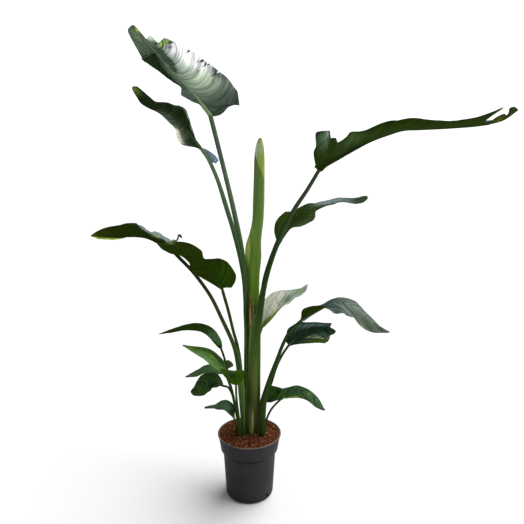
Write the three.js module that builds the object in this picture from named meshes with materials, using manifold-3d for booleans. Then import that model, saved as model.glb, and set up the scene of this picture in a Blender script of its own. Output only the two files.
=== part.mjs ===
// Potted bird of paradise: a fan of long-stalked leaves with side shoots, in a black nursery pot.
// Millimetres, +Z up. The origin is the centre of the pot's underside, and -Y is the front.
import * as THREE from 'three';
import { mergeVertices } from 'three/addons/utils/BufferGeometryUtils.js';
import Module from 'manifold-3d';

const wasm = await Module();
wasm.setup();

// Pot
const POT_HEIGHT = 244;
const RIM_RADIUS = 120;
const RIM_DEPTH = 4;
const COLLAR_TOP_RADIUS = 117;
const COLLAR_FOOT_RADIUS = 109.5;
const COLLAR_FOOT_HEIGHT = 180;
const COLLAR_CHAMFER = 12;
const BODY_TOP_RADIUS = 99;
const BODY_FOOT_RADIUS = 90;
const FOOT_ROUNDING = 12;
const WALL = 3;
const POT_SEGMENTS = 32;
const DRAIN_HOLES = 3;
const DRAIN_HOLE_WIDTH = 12;
const DRAIN_HOLE_HEIGHT = 8;
const DRAIN_HOLE_LEVEL = 20;
const FIRST_DRAIN_ANGLE = 319;

// Soil and the gap that neighbouring pieces keep
const GAP = 0.4;
const SOIL_LEVEL = 239;
const SOIL_CROWN = 2;
const SOIL_CROWN_RADIUS = 60;
const SOIL_EDGE_DROP = 4;
const SOIL_EDGE_WIDTH = 11;
const SOIL_EDGE_GAP = 1.6;
const ROOT_HEIGHT = 170;
const HOLE_HEIGHT = 100;
const THIN_HOLE_SLACK = 1.6;
const TRUNK_HOLE = 31;

// Trunk: a bundle of clasping leaf bases round one leaning axis
const TRUNK_FOOT = new THREE.Vector3(9.5, 10, ROOT_HEIGHT);
const TRUNK_TOP = new THREE.Vector3(14, 5, 780);
const OUTER_RING = 29.5;
const INNER_RING = 23.3;
const TRUNK_TAPER = 0.88;
const TAPER_END = 400;
const SHEATH_HEIGHTS = [150, 280, 400, 520];

// Leaves
const BLADE_HALF_THICKNESS = 0.8;
const LEAST_MARGIN = 1;
const SWEEP_POWER = 1.4;
const FLIP_BEND = 0.12;
const RIB_END = 0.86;
const RIB_TIP = 1.1;
const TEAR_WIDTH = 0.007;
const STEP_WIDTH = 0.045;
const BEND_STEPS = 6;
const FLAT = 400;

const GREENS = {
  dark: { color: 0x2f4a22, roughness: 0.55 },
  grey: { color: 0x6f8a74, roughness: 0.6 },
  teal: { color: 0x3f6a48, roughness: 0.55 },
  light: { color: 0x86a860, roughness: 0.55 },
  pale: { color: 0xc9d2b4, roughness: 0.55 },
};

const degrees = THREE.MathUtils.degToRad;
const vector = ([x, y, z]) => new THREE.Vector3(x, y, z);

// A smooth curve through [station, value] pairs that never overshoots them.
function along(pairs, u) {
  if (typeof pairs === 'number') return pairs;
  const last = pairs.length - 1;
  if (last === 0 || u <= pairs[0][0]) return pairs[0][1];
  if (u >= pairs[last][0]) return pairs[last][1];
  const span = (i) => pairs[i + 1][0] - pairs[i][0];
  const rise = (i) => (pairs[i + 1][1] - pairs[i][1]) / span(i);
  const slope = (i) => {
    if (i === 0) return rise(0);
    if (i === last) return rise(last - 1);
    const before = rise(i - 1);
    const after = rise(i);
    return before * after > 0 ? (2 * before * after) / (before + after) : 0;
  };
  let i = 0;
  while (u >= pairs[i + 1][0]) i += 1;
  const k = (u - pairs[i][0]) / span(i);
  return (1 + 2 * k) * (1 - k) ** 2 * pairs[i][1]
    + k * (1 - k) ** 2 * span(i) * slope(i)
    + k * k * (3 - 2 * k) * pairs[i + 1][1]
    + k * k * (k - 1) * span(i) * slope(i + 1);
}

function throughPoints(points) {
  const curve = new THREE.CatmullRomCurve3(points, false, 'catmullrom', 0.5);
  curve.arcLengthDivisions = 400;
  return curve;
}

// Closed meshes become solids here, and solids become geometry again.
function toSolid(geometry) {
  const bare = geometry.clone();
  bare.deleteAttribute('normal');
  bare.deleteAttribute('uv');
  const merged = mergeVertices(bare, 1e-4);
  return new wasm.Manifold(new wasm.Mesh({
    numProp: 3,
    vertProperties: new Float32Array(merged.attributes.position.array),
    triVerts: new Uint32Array(merged.index.array),
  }));
}

function indexed(points, triangles) {
  const geometry = new THREE.BufferGeometry();
  geometry.setAttribute('position', new THREE.Float32BufferAttribute(points.flatMap((p) => p.toArray()), 3));
  geometry.setIndex(triangles.flat());
  return geometry;
}

function largestPiece(solid) {
  return solid.decompose().sort((a, b) => b.volume() - a.volume())[0];
}

function toGeometry(solid) {
  const mesh = solid.getMesh();
  const geometry = new THREE.BufferGeometry();
  geometry.setAttribute('position', new THREE.BufferAttribute(mesh.vertProperties, 3));
  geometry.setIndex(new THREE.BufferAttribute(mesh.triVerts, 1));
  const shaded = geometry.toNonIndexed();
  shaded.computeVertexNormals();
  return shaded;
}

function block(width, depth, height, x, y, z) {
  return toSolid(new THREE.BoxGeometry(width, depth, height).translate(x, y, z));
}

// Turned shape from [radius, height] points, as a lathe about Z.
function turned(profile, segments) {
  const points = profile.map(([radius, height]) => new THREE.Vector2(radius, height));
  return toSolid(new THREE.LatheGeometry(points, segments).rotateX(Math.PI / 2));
}

// Points on an arc of a profile between two angles.
function arcPoints(radius, height, size, from, to, steps) {
  return Array.from({ length: steps + 1 }, (_, i) => {
    const angle = degrees(from + ((to - from) * i) / steps);
    return [radius + size * Math.cos(angle), height + size * Math.sin(angle)];
  });
}

function buildPot() {
  const outside = [
    [0, 0],
    ...arcPoints(BODY_FOOT_RADIUS - FOOT_ROUNDING, FOOT_ROUNDING, FOOT_ROUNDING, -90, 0, 4),
    [BODY_TOP_RADIUS, COLLAR_FOOT_HEIGHT - COLLAR_CHAMFER],
    [COLLAR_FOOT_RADIUS, COLLAR_FOOT_HEIGHT],
    [COLLAR_TOP_RADIUS, POT_HEIGHT - 1.5 * RIM_DEPTH],
    [RIM_RADIUS, POT_HEIGHT - RIM_DEPTH],
    [RIM_RADIUS, POT_HEIGHT],
  ];
  const inside = [
    [COLLAR_TOP_RADIUS - WALL, POT_HEIGHT],
    [COLLAR_FOOT_RADIUS - WALL, COLLAR_FOOT_HEIGHT],
    [BODY_TOP_RADIUS - WALL, COLLAR_FOOT_HEIGHT - COLLAR_CHAMFER],
    [BODY_FOOT_RADIUS - WALL, FOOT_ROUNDING],
    [BODY_FOOT_RADIUS - FOOT_ROUNDING, WALL],
    [0, WALL],
  ];
  let pot = turned([...outside, ...inside], POT_SEGMENTS);
  for (let i = 0; i < DRAIN_HOLES; i += 1) {
    const angle = degrees(FIRST_DRAIN_ANGLE + (360 / DRAIN_HOLES) * i);
    const hole = new THREE.BoxGeometry(4 * WALL, DRAIN_HOLE_WIDTH, DRAIN_HOLE_HEIGHT);
    hole.translate(BODY_FOOT_RADIUS, 0, DRAIN_HOLE_LEVEL).rotateZ(angle);
    pot = pot.subtract(toSolid(hole));
  }
  return pot;
}

// The mix fills the pot's inside and stands a little higher in the middle.
function buildSoil(holes) {
  const profile = [
    [0, WALL + GAP],
    [BODY_FOOT_RADIUS - FOOT_ROUNDING - GAP, WALL + GAP],
    [BODY_FOOT_RADIUS - WALL - 2 * GAP, FOOT_ROUNDING],
    [BODY_TOP_RADIUS - WALL - GAP, COLLAR_FOOT_HEIGHT - COLLAR_CHAMFER],
    [COLLAR_FOOT_RADIUS - WALL - GAP, COLLAR_FOOT_HEIGHT + GAP],
    [COLLAR_TOP_RADIUS - WALL - SOIL_EDGE_GAP, SOIL_LEVEL - SOIL_EDGE_DROP],
    [COLLAR_TOP_RADIUS - WALL - SOIL_EDGE_GAP - SOIL_EDGE_WIDTH, SOIL_LEVEL],
    [SOIL_CROWN_RADIUS, SOIL_LEVEL + SOIL_CROWN],
    [0, SOIL_LEVEL + SOIL_CROWN],
  ];
  return holes.reduce((soil, hole) => soil.subtract(hole), turned(profile, POT_SEGMENTS));
}

// A point on the trunk's ring of leaf bases: the rings draw in towards the foot.
function onTrunk(angle, ring, height) {
  const rise = (height - ROOT_HEIGHT) / (TRUNK_TOP.z - TRUNK_FOOT.z);
  const centre = TRUNK_FOOT.clone().lerp(TRUNK_TOP, rise);
  const draw = trunkDraw(height);
  const x = centre.x + ring * draw * Math.cos(degrees(angle));
  const y = centre.y + ring * draw * Math.sin(degrees(angle));
  return [x, y, height];
}

function trunkDraw(height) {
  const rise = THREE.MathUtils.clamp((height - ROOT_HEIGHT) / (TAPER_END - ROOT_HEIGHT), 0, 1);
  return TRUNK_TAPER + (1 - TRUNK_TAPER) * rise;
}

// A clasping base: sections bent to the ring, from under the soil up to where the stalk leaves it.
function sheath(angle, ring, spread, thickness, heights = SHEATH_HEIGHTS) {
  return heights.map((height) => {
    const draw = trunkDraw(height);
    const half = ring * draw * degrees(spread);
    return [...onTrunk(angle, ring, height), half, thickness, ring * draw];
  });
}

// A stalk section: an ellipse, half wide and half thick, bent round a cup of the given radius.
function section(centre, tangent, facing, half, thickness, cup, sides) {
  const outward = facing.clone().addScaledVector(tangent, -facing.dot(tangent)).normalize();
  const across = new THREE.Vector3().crossVectors(tangent, outward);
  return Array.from({ length: sides }, (_, k) => {
    const turn = (2 * Math.PI * k) / sides;
    const bend = (half * Math.cos(turn)) / cup;
    const reach = cup + thickness * Math.sin(turn);
    return centre.clone()
      .addScaledVector(across, reach * Math.sin(bend))
      .addScaledVector(outward, reach * Math.cos(bend) - cup);
  });
}

// Rings of equal count, one after another, closed by a fan at each end.
function ringsSolid(rings) {
  const sides = rings[0].length;
  const points = rings.flat();
  const triangles = [];
  for (let row = 0; row < rings.length - 1; row += 1) {
    for (let k = 0; k < sides; k += 1) {
      const a = row * sides + k;
      const b = row * sides + ((k + 1) % sides);
      triangles.push([a, b + sides, b], [a, a + sides, b + sides]);
    }
  }
  const end = (rings.length - 1) * sides;
  for (let k = 1; k < sides - 1; k += 1) {
    triangles.push([0, k, k + 1], [end, end + k + 1, end + k]);
  }
  return toSolid(indexed(points, triangles));
}

// Stalk route points are [x, y, z, half width, half thickness, cup radius].
function stalkRings(route, facing, sides) {
  const curve = throughPoints(route.map(vector));
  const spans = route.length - 1;
  return route.map((point, i) => {
    const [, , , half, thickness, cup = FLAT] = point;
    return section(vector(point), curve.getTangent(i / spans), facing, half, thickness, cup, sides);
  });
}

// The blade's frame at a station: the midrib's direction, the way across it and its upper side.
function bladeFrame(leaf, curve, u) {
  const point = curve.getPointAt(u);
  const forward = curve.getTangentAt(u);
  const level = new THREE.Vector3(0, 0, 1).addScaledVector(forward, -forward.z).normalize();
  const side = new THREE.Vector3().crossVectors(forward, level);
  const roll = degrees(along(leaf.roll, u));
  return {
    point,
    forward,
    across: side.clone().multiplyScalar(Math.cos(roll)).addScaledVector(level, -Math.sin(roll)),
    upper: level.clone().multiplyScalar(Math.cos(roll)).addScaledVector(side, Math.sin(roll)),
  };
}

function smoothStep(x) {
  const k = THREE.MathUtils.clamp(x, 0, 1);
  return k * k * (3 - 2 * k);
}

// How far the blade has turned up from flat at a share t of the way from midrib to margin.
function liftAngle(half, u, t) {
  let angle = along(half.fold ?? 0, u) + along(half.curl ?? 0, u) * t;
  if (half.flip) {
    angle += along(half.flip.turn, u) * smoothStep((t - along(half.flip.start, u)) / FLIP_BEND);
  }
  return degrees(angle);
}

function marginWidth(half, u) {
  const whole = Math.max(along(half.width, u), LEAST_MARGIN);
  const cut = (half.tears ?? []).find(([station]) => Math.abs(station - u) < 1e-6);
  return cut ? whole * (1 - cut[1]) : whole;
}

// Half a blade at one station: points and upper normals from the midrib to the margin.
function halfRow(half, sign, frame, u, stations) {
  const width = marginWidth(half, u);
  const sweep = along(half.sweep ?? 0, u);
  let out = 0;
  let up = 0;
  let before = liftAngle(half, u, 0);
  return stations.map((t, i) => {
    const angle = liftAngle(half, u, t);
    if (i > 0) {
      const from = stations[i - 1];
      const step = (t - from) / BEND_STEPS;
      for (let k = 1; k <= BEND_STEPS; k += 1) {
        const next = liftAngle(half, u, from + step * k);
        out += (step * (Math.cos(before) + Math.cos(next))) / 2;
        up += (step * (Math.sin(before) + Math.sin(next))) / 2;
        before = next;
      }
    }
    const point = frame.point.clone()
      .addScaledVector(frame.across, sign * width * out)
      .addScaledVector(frame.upper, width * up)
      .addScaledVector(frame.forward, width * sweep * t ** SWEEP_POWER);
    const normal = frame.across.clone().multiplyScalar(-sign * Math.sin(angle))
      .addScaledVector(frame.upper, Math.cos(angle));
    return { point, normal };
  });
}

// Cells across half a blade, closer together where the blade folds back on itself.
function crossStations(half, cells, u) {
  if (!half.flip) return Array.from({ length: cells + 1 }, (_, i) => i / cells);
  const start = along(half.flip.start, u);
  const bends = [0, 1 / 3, 2 / 3, 1].map((k) => start + FLIP_BEND * k);
  return [0, ...bends, 1];
}

// Stations along the midrib: every place where a margin is cut or steps, and even rows between.
function rowStations(leaf) {
  const fixed = new Set([0, 1]);
  for (const half of [leaf.left, leaf.right]) {
    const stations = half.width.map(([station]) => station);
    stations.forEach((station, i) => {
      if (i > 0 && station - stations[i - 1] < STEP_WIDTH) fixed.add(station).add(stations[i - 1]);
    });
    for (const [station] of half.tears ?? []) {
      fixed.add(station - TEAR_WIDTH).add(station).add(station + TEAR_WIDTH);
    }
  }
  const apart = 0.5 / leaf.rows;
  const even = Array.from({ length: leaf.rows + 1 }, (_, i) => i / leaf.rows);
  const free = even.filter((station) => [...fixed].every((other) => Math.abs(other - station) > apart));
  return [...fixed, ...free].sort((a, b) => a - b);
}

// The blade: one row per station, from the left margin over the midrib to the right margin,
// as an upper and a lower face of the same triangles, closed round the rim.
function bladeSolid(leaf) {
  const curve = throughPoints(leaf.midrib.map(vector));
  const cells = leaf.cells;
  const upper = [];
  const lower = [];
  const stations = rowStations(leaf);
  for (const u of stations) {
    const frame = bladeFrame(leaf, curve, u);
    const left = halfRow(leaf.left, -1, frame, u, crossStations(leaf.left, cells, u));
    const right = halfRow(leaf.right, 1, frame, u, crossStations(leaf.right, cells, u));
    const rib = { point: left[0].point, normal: left[0].normal.clone().add(right[0].normal).normalize() };
    for (const { point, normal } of [...left.slice(1).reverse(), rib, ...right.slice(1)]) {
      upper.push(point.clone().addScaledVector(normal, BLADE_HALF_THICKNESS));
      lower.push(point.clone().addScaledVector(normal, -BLADE_HALF_THICKNESS));
    }
  }
  const columns = upper.length / stations.length;
  const rows = stations.length;
  const half = upper.length;
  const triangles = [];
  const quad = (a, b, c, d) => triangles.push([a, b, c], [a, c, d]);
  for (let row = 0; row < rows - 1; row += 1) {
    for (let k = 0; k < columns - 1; k += 1) {
      const a = row * columns + k;
      const b = a + 1;
      const c = b + columns;
      const d = a + columns;
      quad(a, b, c, d);
      triangles.push([half + a, half + c, half + b], [half + a, half + d, half + c]);
    }
    const first = row * columns;
    const last = first + columns - 1;
    quad(first, first + columns, half + first + columns, half + first);
    quad(last + columns, last, half + last, half + last + columns);
  }
  const end = (rows - 1) * columns;
  for (let k = 0; k < columns - 1; k += 1) {
    quad(k + 1, k, half + k, half + k + 1);
    quad(end + k, end + k + 1, half + end + k + 1, half + end + k);
  }
  return toSolid(indexed([...upper, ...lower], triangles));
}

// The midrib: the stalk runs on under the blade and tapers out before the tip.
function ribRings(leaf, facing, sides, startRadius) {
  const curve = throughPoints(leaf.midrib.map(vector));
  const rows = leaf.ribRows;
  return Array.from({ length: rows }, (_, i) => {
    const u = (RIB_END * (i + 1)) / rows;
    const frame = bladeFrame(leaf, curve, u);
    const radius = RIB_TIP + (startRadius - RIB_TIP) * (1 - u / RIB_END) ** 1.2;
    const centre = frame.point.clone().addScaledVector(frame.upper, -radius);
    return section(centre, frame.forward, facing, radius, radius, FLAT, sides);
  });
}

function buildLeaf(leaf) {
  const facing = new THREE.Vector3(Math.cos(degrees(leaf.facing)), Math.sin(degrees(leaf.facing)), 0);
  const end = leaf.stalkEnd;
  const route = [...leaf.stalk, [...leaf.midrib[0], end, end]];
  const rings = [...stalkRings(route, facing, leaf.sides), ...ribRings(leaf, facing, leaf.sides, end)];
  const blades = [leaf, ...(leaf.lobes ?? [])].map(bladeSolid);
  return blades.reduce((whole, blade) => whole.add(blade), ringsSolid(rings));
}

// The leaves. A midrib runs from the stalk to the tip. Left and right are as seen from above,
// looking along it. Widths are in millimetres and angles in degrees at shares of the midrib's
// length, and sweep is how far the margin runs ahead of its station, as a share of the width.
// A tear cuts the margin in by a share of the width, and a flip folds the outer part of a half
// over by its turn, from its start. Lobes are small blades of their own on the same stalk.
const LEAVES = {
  leaf_top_left: {
    inTrunk: true,
    green: 'grey', facing: 170, sides: 12, stalkEnd: 8, rows: 20, cells: 4, ribRows: 8,
    midrib: [
      [-124, -30, 1402], [-164, -40, 1456], [-195, -48, 1490], [-243, -60, 1536],
      [-278, -72, 1576], [-319, -90, 1624], [-358, -105, 1662],
    ],
    roll: [[0, 85], [1, 60]],
    left: {
      width: [
        [0, 9], [0.015, 21], [0.035, 45], [0.052, 74], [0.068, 105], [0.078, 111], [0.09, 125],
        [0.11, 138], [0.2, 139], [0.26, 133], [0.33, 126], [0.4, 116], [0.54, 103], [0.61, 93],
        [0.68, 78], [0.735, 65], [0.76, 56], [0.775, 32], [0.79, 30], [0.815, 26], [0.828, 25],
        [0.84, 17], [0.85, 6], [0.96, 7], [1, 3],
      ],
      fold: [[0, 5], [1, 10]],
      curl: [[0, 20], [0.3, 45], [0.7, 45], [1, 0]],
      sweep: [
        [0, -0.9], [0.015, -0.88], [0.035, -0.65], [0.052, -0.42], [0.068, -0.42], [0.078, -0.52],
        [0.09, -0.33], [0.11, -0.19], [0.26, -0.12], [0.4, -0.11], [0.54, 0], [0.76, -0.03],
        [0.775, -0.61], [0.79, -0.61], [0.815, -0.3], [0.828, 0.04], [0.84, 0.12], [0.85, -0.5],
        [0.875, -0.18], [0.91, 0], [1, 0],
      ],
      tears: [[0.27, 0.1], [0.37, 0.1], [0.43, 0.14], [0.52, 0.12]],
    },
    right: {
      width: [
        [0, 4], [0.078, 6.7], [0.134, 7.3], [0.198, 20.2], [0.269, 29.2], [0.305, 33], [0.34, 22],
        [0.37, 18], [0.42, 26], [0.5, 38], [0.6, 51], [0.7, 81], [0.752, 99], [0.765, 43],
        [0.8, 40.5], [0.85, 35], [0.9, 29.5], [0.94, 23.5], [0.97, 12], [1, 3],
      ],
      flip: {
        turn: [[0.33, 0], [0.37, -165], [0.752, -165], [0.765, 0]],
        start: [[0.37, 0.8], [0.42, 0.68], [0.5, 0.6], [0.6, 0.56], [0.7, 0.45], [0.752, 0.42]],
      },
      sweep: [
        [0, -0.3], [0.3, 0.1], [0.42, 0.12], [0.5, 0], [0.6, -0.18], [0.752, -0.19], [0.765, 0.06],
        [0.8, 0.07], [0.85, 0.23], [0.9, 0.3], [0.97, 0.5], [1, 0.3],
      ],
    },
    stalk: [
      ...sheath(170, INNER_RING, 66, 2.3),
      [...onTrunk(172, INNER_RING, 640), 24, 2.6, 26],
      [...onTrunk(178, INNER_RING, 720), 17, 3, 32],
      [-8, -1, 795, 10, 5, 60], [-12, -5, 860, 10, 7.5], [-24, -10, 948, 10, 9],
      [-35, -12, 1011, 10, 9], [-58, -18, 1123, 9, 8.5], [-83, -24, 1232, 8.5, 8], [-108, -29, 1337, 8, 8],
    ],
  },
  leaf_upper_left: {
    inTrunk: true,
    green: 'dark', facing: 200, sides: 10, stalkEnd: 6, rows: 16, cells: 4, ribRows: 6,
    midrib: [
      [-153, -60, 1293], [-192, -66, 1344], [-232, -72, 1386], [-272, -78, 1423],
      [-321, -85, 1448], [-365, -90, 1484],
    ],
    roll: [[0, -75], [1, -70]],
    left: {
      width: [
        [0, 3], [0.057, 12.4], [0.095, 24], [0.134, 39], [0.164, 49.6], [0.196, 53], [0.232, 51],
        [0.27, 44], [0.308, 32.6], [0.359, 26.8], [0.49, 25], [0.63, 23.6], [0.79, 22.6], [0.87, 16],
        [0.967, 7.3], [1, 2],
      ],
      fold: -20,
      curl: [[0, 0], [0.1, -40], [0.3, -60], [0.6, -20], [1, 0]],
      sweep: [[0, -0.3], [0.25, 0.2], [1, 0.6]],
    },
    right: {
      width: [
        [0, 5], [0.11, 5], [0.18, 11.8], [0.255, 21.5], [0.315, 31.7], [0.363, 39], [0.42, 47],
        [0.49, 41.3], [0.53, 30.6], [0.59, 23.4], [0.64, 14.4], [0.71, 6], [0.78, 11], [0.89, 12.7],
        [0.94, 12], [1, 2],
      ],
      fold: 10,
      sweep: [[0, 0], [0.25, 0], [0.6, 0.1], [1, 0.6]],
    },
    lobes: [{
      rows: 4, cells: 2,
      midrib: [[-148, -58, 1293], [-125, -58, 1272], [-101, -58, 1251]],
      roll: -75,
      left: { width: [[0, 4], [0.3, 12], [0.7, 14], [1, 8]] },
      right: { width: [[0, 4], [0.3, 10], [0.7, 12], [1, 8]] },
    }],
    stalk: [
      ...sheath(200, OUTER_RING, 33, 2.3),
      [...onTrunk(204, OUTER_RING, 640), 14, 2.6, 32],
      [-15, -15, 715, 11, 3.2, 50],
      [-14, -22, 780, 9, 5.5], [-17, -27, 845, 8, 7], [-28, -33, 922, 8, 8], [-50, -41, 1017, 8, 8],
      [-73, -47, 1097, 8, 8], [-100, -53, 1187, 7, 7], [-129, -58, 1257, 6.5, 6.5],
    ],
  },
  leaf_top_right: {
    inTrunk: true,
    green: 'dark', facing: 301, sides: 12, stalkEnd: 6.5, rows: 22, cells: 4, ribRows: 10,
    midrib: [
      [238, -50, 1221], [259, -52, 1241], [292, -55, 1258], [341, -58, 1284], [406, -60, 1317],
      [470, -65, 1340], [514, -70, 1352], [566, -72, 1354], [660, -80, 1358], [753, -90, 1365],
      [820, -96, 1379], [866, -100, 1411],
    ],
    roll: 0,
    left: {
      width: [[0, 50], [0.1, 74], [0.3, 73], [0.5, 61], [0.7, 46], [0.9, 22], [1, 3]],
      fold: 25,
      curl: [[0, 0], [0.5, 20], [1, 0]],
      sweep: [[0, 0], [0.3, 0.2], [1, 0.6]],
    },
    right: {
      width: [
        [0, 30], [0.02, 62], [0.035, 75], [0.05, 125], [0.085, 120], [0.095, 97], [0.115, 83],
        [0.135, 62], [0.174, 66], [0.194, 76], [0.236, 59.5], [0.266, 53], [0.34, 55], [0.373, 53],
        [0.424, 44], [0.48, 44.6], [0.53, 39], [0.6, 31.7], [0.67, 26.6], [0.71, 29.7], [0.73, 31.8],
        [0.76, 38], [0.79, 50], [0.81, 12], [0.85, 8.6], [0.88, 22.4], [0.9, 27.8], [0.92, 15.4],
        [0.95, 18], [1, 3],
      ],
      fold: [[0, 60], [0.1, 10], [0.4, 15], [0.8, 30]],
      curl: [[0, 30], [0.1, 90], [0.4, 85], [0.8, 60], [1, 20]],
      sweep: [
        [0, 0.32], [0.02, 0.34], [0.05, 0.17], [0.085, 0.23], [0.095, 0.13], [0.115, 0.22],
        [0.135, 0.12], [0.19, 0.15], [0.27, 0.3], [0.7, 0.4], [0.73, 1.4], [0.79, 1.4], [0.82, 0.6],
        [0.88, 0.12], [0.9, 0.46], [0.92, 0.8], [1, 0.5],
      ],
    },
    stalk: [
      ...sheath(301, OUTER_RING, 62, 2.5),
      [...onTrunk(302, OUTER_RING, 640), 28, 2.8, 31],
      [36, -19, 695, 21, 4, 34], [44, -20, 750, 14, 6, 45], [53, -21, 805, 11, 8.5], [66, -22, 865, 10, 10],
      [86, -24, 930, 9.5, 9.5], [119, -29, 1013, 8.5, 8.5], [158, -36, 1090, 7.5, 7.5],
      [204, -44, 1162, 6.8, 6.8],
    ],
  },
  leaf_middle_right: {
    inTrunk: true,
    green: 'dark', facing: 25, sides: 10, stalkEnd: 6, rows: 12, cells: 4, ribRows: 6,
    midrib: [
      [108.5, 4, 970], [145.5, 8, 1034], [191, 12, 1077], [246, 16, 1100], [325, 22, 1118], [423, 30, 1131],
    ],
    roll: [[0, 60], [0.4, 50], [0.6, 15], [0.72, 25], [0.85, 50], [1, 50]],
    left: {
      width: [
        [0, 6], [0.027, 13.7], [0.067, 27], [0.1, 38], [0.16, 48.5], [0.24, 44.5], [0.28, 30],
        [0.336, 23], [0.44, 22.4], [0.5, 17], [0.57, 21.3], [0.634, 22.7], [0.698, 21], [0.786, 9],
        [0.88, 3], [0.966, 6.5], [1, 3],
      ],
      fold: 10,
      sweep: [[0, -0.5], [0.2, 0.1], [1, 0.6]],
    },
    right: {
      width: [
        [0, 4.5], [0.079, 7.3], [0.162, 11.4], [0.198, 18.5], [0.233, 33.4], [0.296, 42.4],
        [0.361, 45], [0.421, 36], [0.472, 17], [0.527, 14.5], [0.632, 16.4], [0.7, 8], [0.76, 10.7],
        [0.8, 17.7], [0.85, 23.3], [0.907, 21], [0.956, 13.7], [1, 4],
      ],
      fold: [[0, -10], [0.4, -20], [0.6, -10], [1, 0]],
      sweep: [[0, -0.2], [0.3, 0.25], [1, 0.6]],
    },
    stalk: [
      ...sheath(25, INNER_RING, 66, 2.3),
      [...onTrunk(25, INNER_RING + 1, 630), 22, 2.8, 27],
      [40, 18, 695, 15, 4, 40], [48, 19, 755, 10, 6], [54, 17, 818, 7.5, 7.5], [68, 13, 877, 7, 7],
      [86, 8, 925, 6.5, 6.5],
    ],
  },
  leaf_bright_behind: {
    inTrunk: true,
    green: 'pale', facing: 80, sides: 10, stalkEnd: 5, rows: 9, cells: 2, ribRows: 3,
    midrib: [[48, 60, 641], [82, 66, 670], [114, 74, 706], [147, 82, 736], [182, 90, 767], [221, 96, 798]],
    roll: [[0, 40], [0.3, 50], [1, 40]],
    left: {
      width: [
        [0, 30], [0.1, 50], [0.25, 68], [0.4, 66], [0.55, 50], [0.7, 26], [0.773, 16.8], [0.89, 4],
        [1, 2],
      ],
      fold: 10,
      sweep: [[0, -0.2], [0.3, 0.2], [1, 0.5]],
    },
    right: {
      width: [
        [0, 6], [0.2, 16], [0.4, 20], [0.55, 13], [0.685, 10.5], [0.753, 18], [0.855, 19], [1, 2],
      ],
      fold: [[0, 90], [0.4, 80], [0.6, 20], [0.75, 0], [1, 0]],
      sweep: [[0, 0], [0.4, 0.3], [1, 0.5]],
    },
    stalk: [
      ...sheath(80, OUTER_RING, 52, 2.4, [150, 280, 380]),
      [17, 41, 460, 16, 4, 40], [20, 47, 530, 8, 6], [31, 54, 590, 6, 6],
    ],
  },
  leaf_arching_right: {
    green: 'grey', facing: 300, sides: 8, stalkEnd: 5, rows: 12, cells: 3, ribRows: 6,
    midrib: [
      [191, -25, 694], [220, -28, 713], [256, -30, 734], [291, -32, 752], [333, -35, 760],
      [382, -40, 741], [418, -43, 710], [461, -47, 678], [501, -50, 657],
    ],
    roll: [[0, 0], [0.2, 5], [0.33, 30], [1, 35]],
    left: {
      width: [
        [0, 9], [0.1, 20], [0.217, 24], [0.27, 19], [0.32, 20.5], [0.42, 24.8], [0.53, 29],
        [0.6, 20.6], [0.673, 20.3], [0.778, 14.8], [0.885, 6], [1, 3],
      ],
      fold: [[0, 40], [0.3, 10], [1, 0]],
      sweep: [[0, -0.3], [0.3, 0.3], [1, 0.6]],
    },
    right: {
      width: [
        [0, 9.4], [0.03, 28.8], [0.07, 33.7], [0.12, 26], [0.17, 18], [0.22, 14], [0.27, 26],
        [0.3, 45], [0.35, 55], [0.45, 55], [0.51, 49], [0.574, 42], [0.605, 46], [0.657, 50],
        [0.72, 47], [0.813, 36], [0.89, 21], [1, 3],
      ],
      fold: [[0, 85], [0.19, 80], [0.27, 0], [1, -10]],
      sweep: [[0, 0.3], [0.07, 0.23], [0.12, 0.7], [0.2, 1], [0.3, 0.2], [1, 0.5]],
    },
    stalk: [
      [47, -26, 150, 9, 6], [49, -25, 280, 12, 7, 40], [52, -22, 369, 14, 7.5, 40], [65, -20, 425, 11, 8],
      [80, -16, 476, 8, 7], [104, -13, 541, 7, 6.5], [125, -13, 599, 6.3, 6.3], [150, -17, 650, 5.5, 5.5],
    ],
  },
  leaf_torn_right: {
    green: 'dark', facing: 300, sides: 6, stalkEnd: 4.5, rows: 9, cells: 2, ribRows: 3,
    midrib: [[148, 15, 585], [180, 10, 618], [221, 5, 644], [264, 0, 654], [317, -5, 644]],
    roll: [[0, 60], [1, 50]],
    left: {
      width: [
        [0, 20], [0.076, 34], [0.153, 47], [0.21, 45.8], [0.326, 45.8], [0.408, 34.4],
        [0.58, 24.7], [0.709, 21.2], [0.83, 26.6], [0.85, 12], [0.93, 8], [1, 3],
      ],
      fold: 10,
      sweep: [[0, -0.1], [0.3, 0.4], [1, 0.6]],
    },
    right: {
      width: [
        [0, 5], [0.043, 8.9], [0.214, 30.5], [0.415, 48.9], [0.638, 55.7], [0.806, 44.5], [0.868, 28],
        [0.88, 20], [0.945, 12], [1, 3],
      ],
      fold: -10,
      sweep: [[0, 0], [0.3, 0.2], [1, 0.4]],
    },
    stalk: [
      [54, 8, 150, 4.5, 4.5], [57, 7, 280, 4.5, 4.5], [63, 4, 373, 4.5, 4.5], [82, 4, 436, 4.5, 4.5],
      [102, 6, 503, 4.5, 4.5], [124, 10, 550, 4.5, 4.5],
    ],
  },
  leaf_low_right: {
    green: 'teal', facing: 300, sides: 6, stalkEnd: 4, rows: 8, cells: 2, ribRows: 3,
    midrib: [[118, -5, 379], [153, -10, 405], [197, -15, 413], [241, -20, 391], [282, -25, 345]],
    roll: 35,
    left: {
      width: [
        [0, 2], [0.02, 9.3], [0.045, 28.7], [0.07, 56.3], [0.1, 73.6], [0.13, 69.2], [0.16, 51.4],
        [0.2, 29], [0.26, 25.6], [0.343, 25.4], [0.432, 20.3], [0.56, 16.7], [0.68, 14], [0.8, 10.8],
        [0.946, 3.6], [1, 2],
      ],
      fold: 10,
      sweep: [
        [0, -3.96], [0.02, -3.96], [0.045, -2.38], [0.07, -1.35], [0.1, -0.83], [0.13, -0.6],
        [0.2, -0.54], [0.26, -0.14], [0.33, 0.05], [1, 0.5],
      ],
    },
    right: {
      width: [
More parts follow.
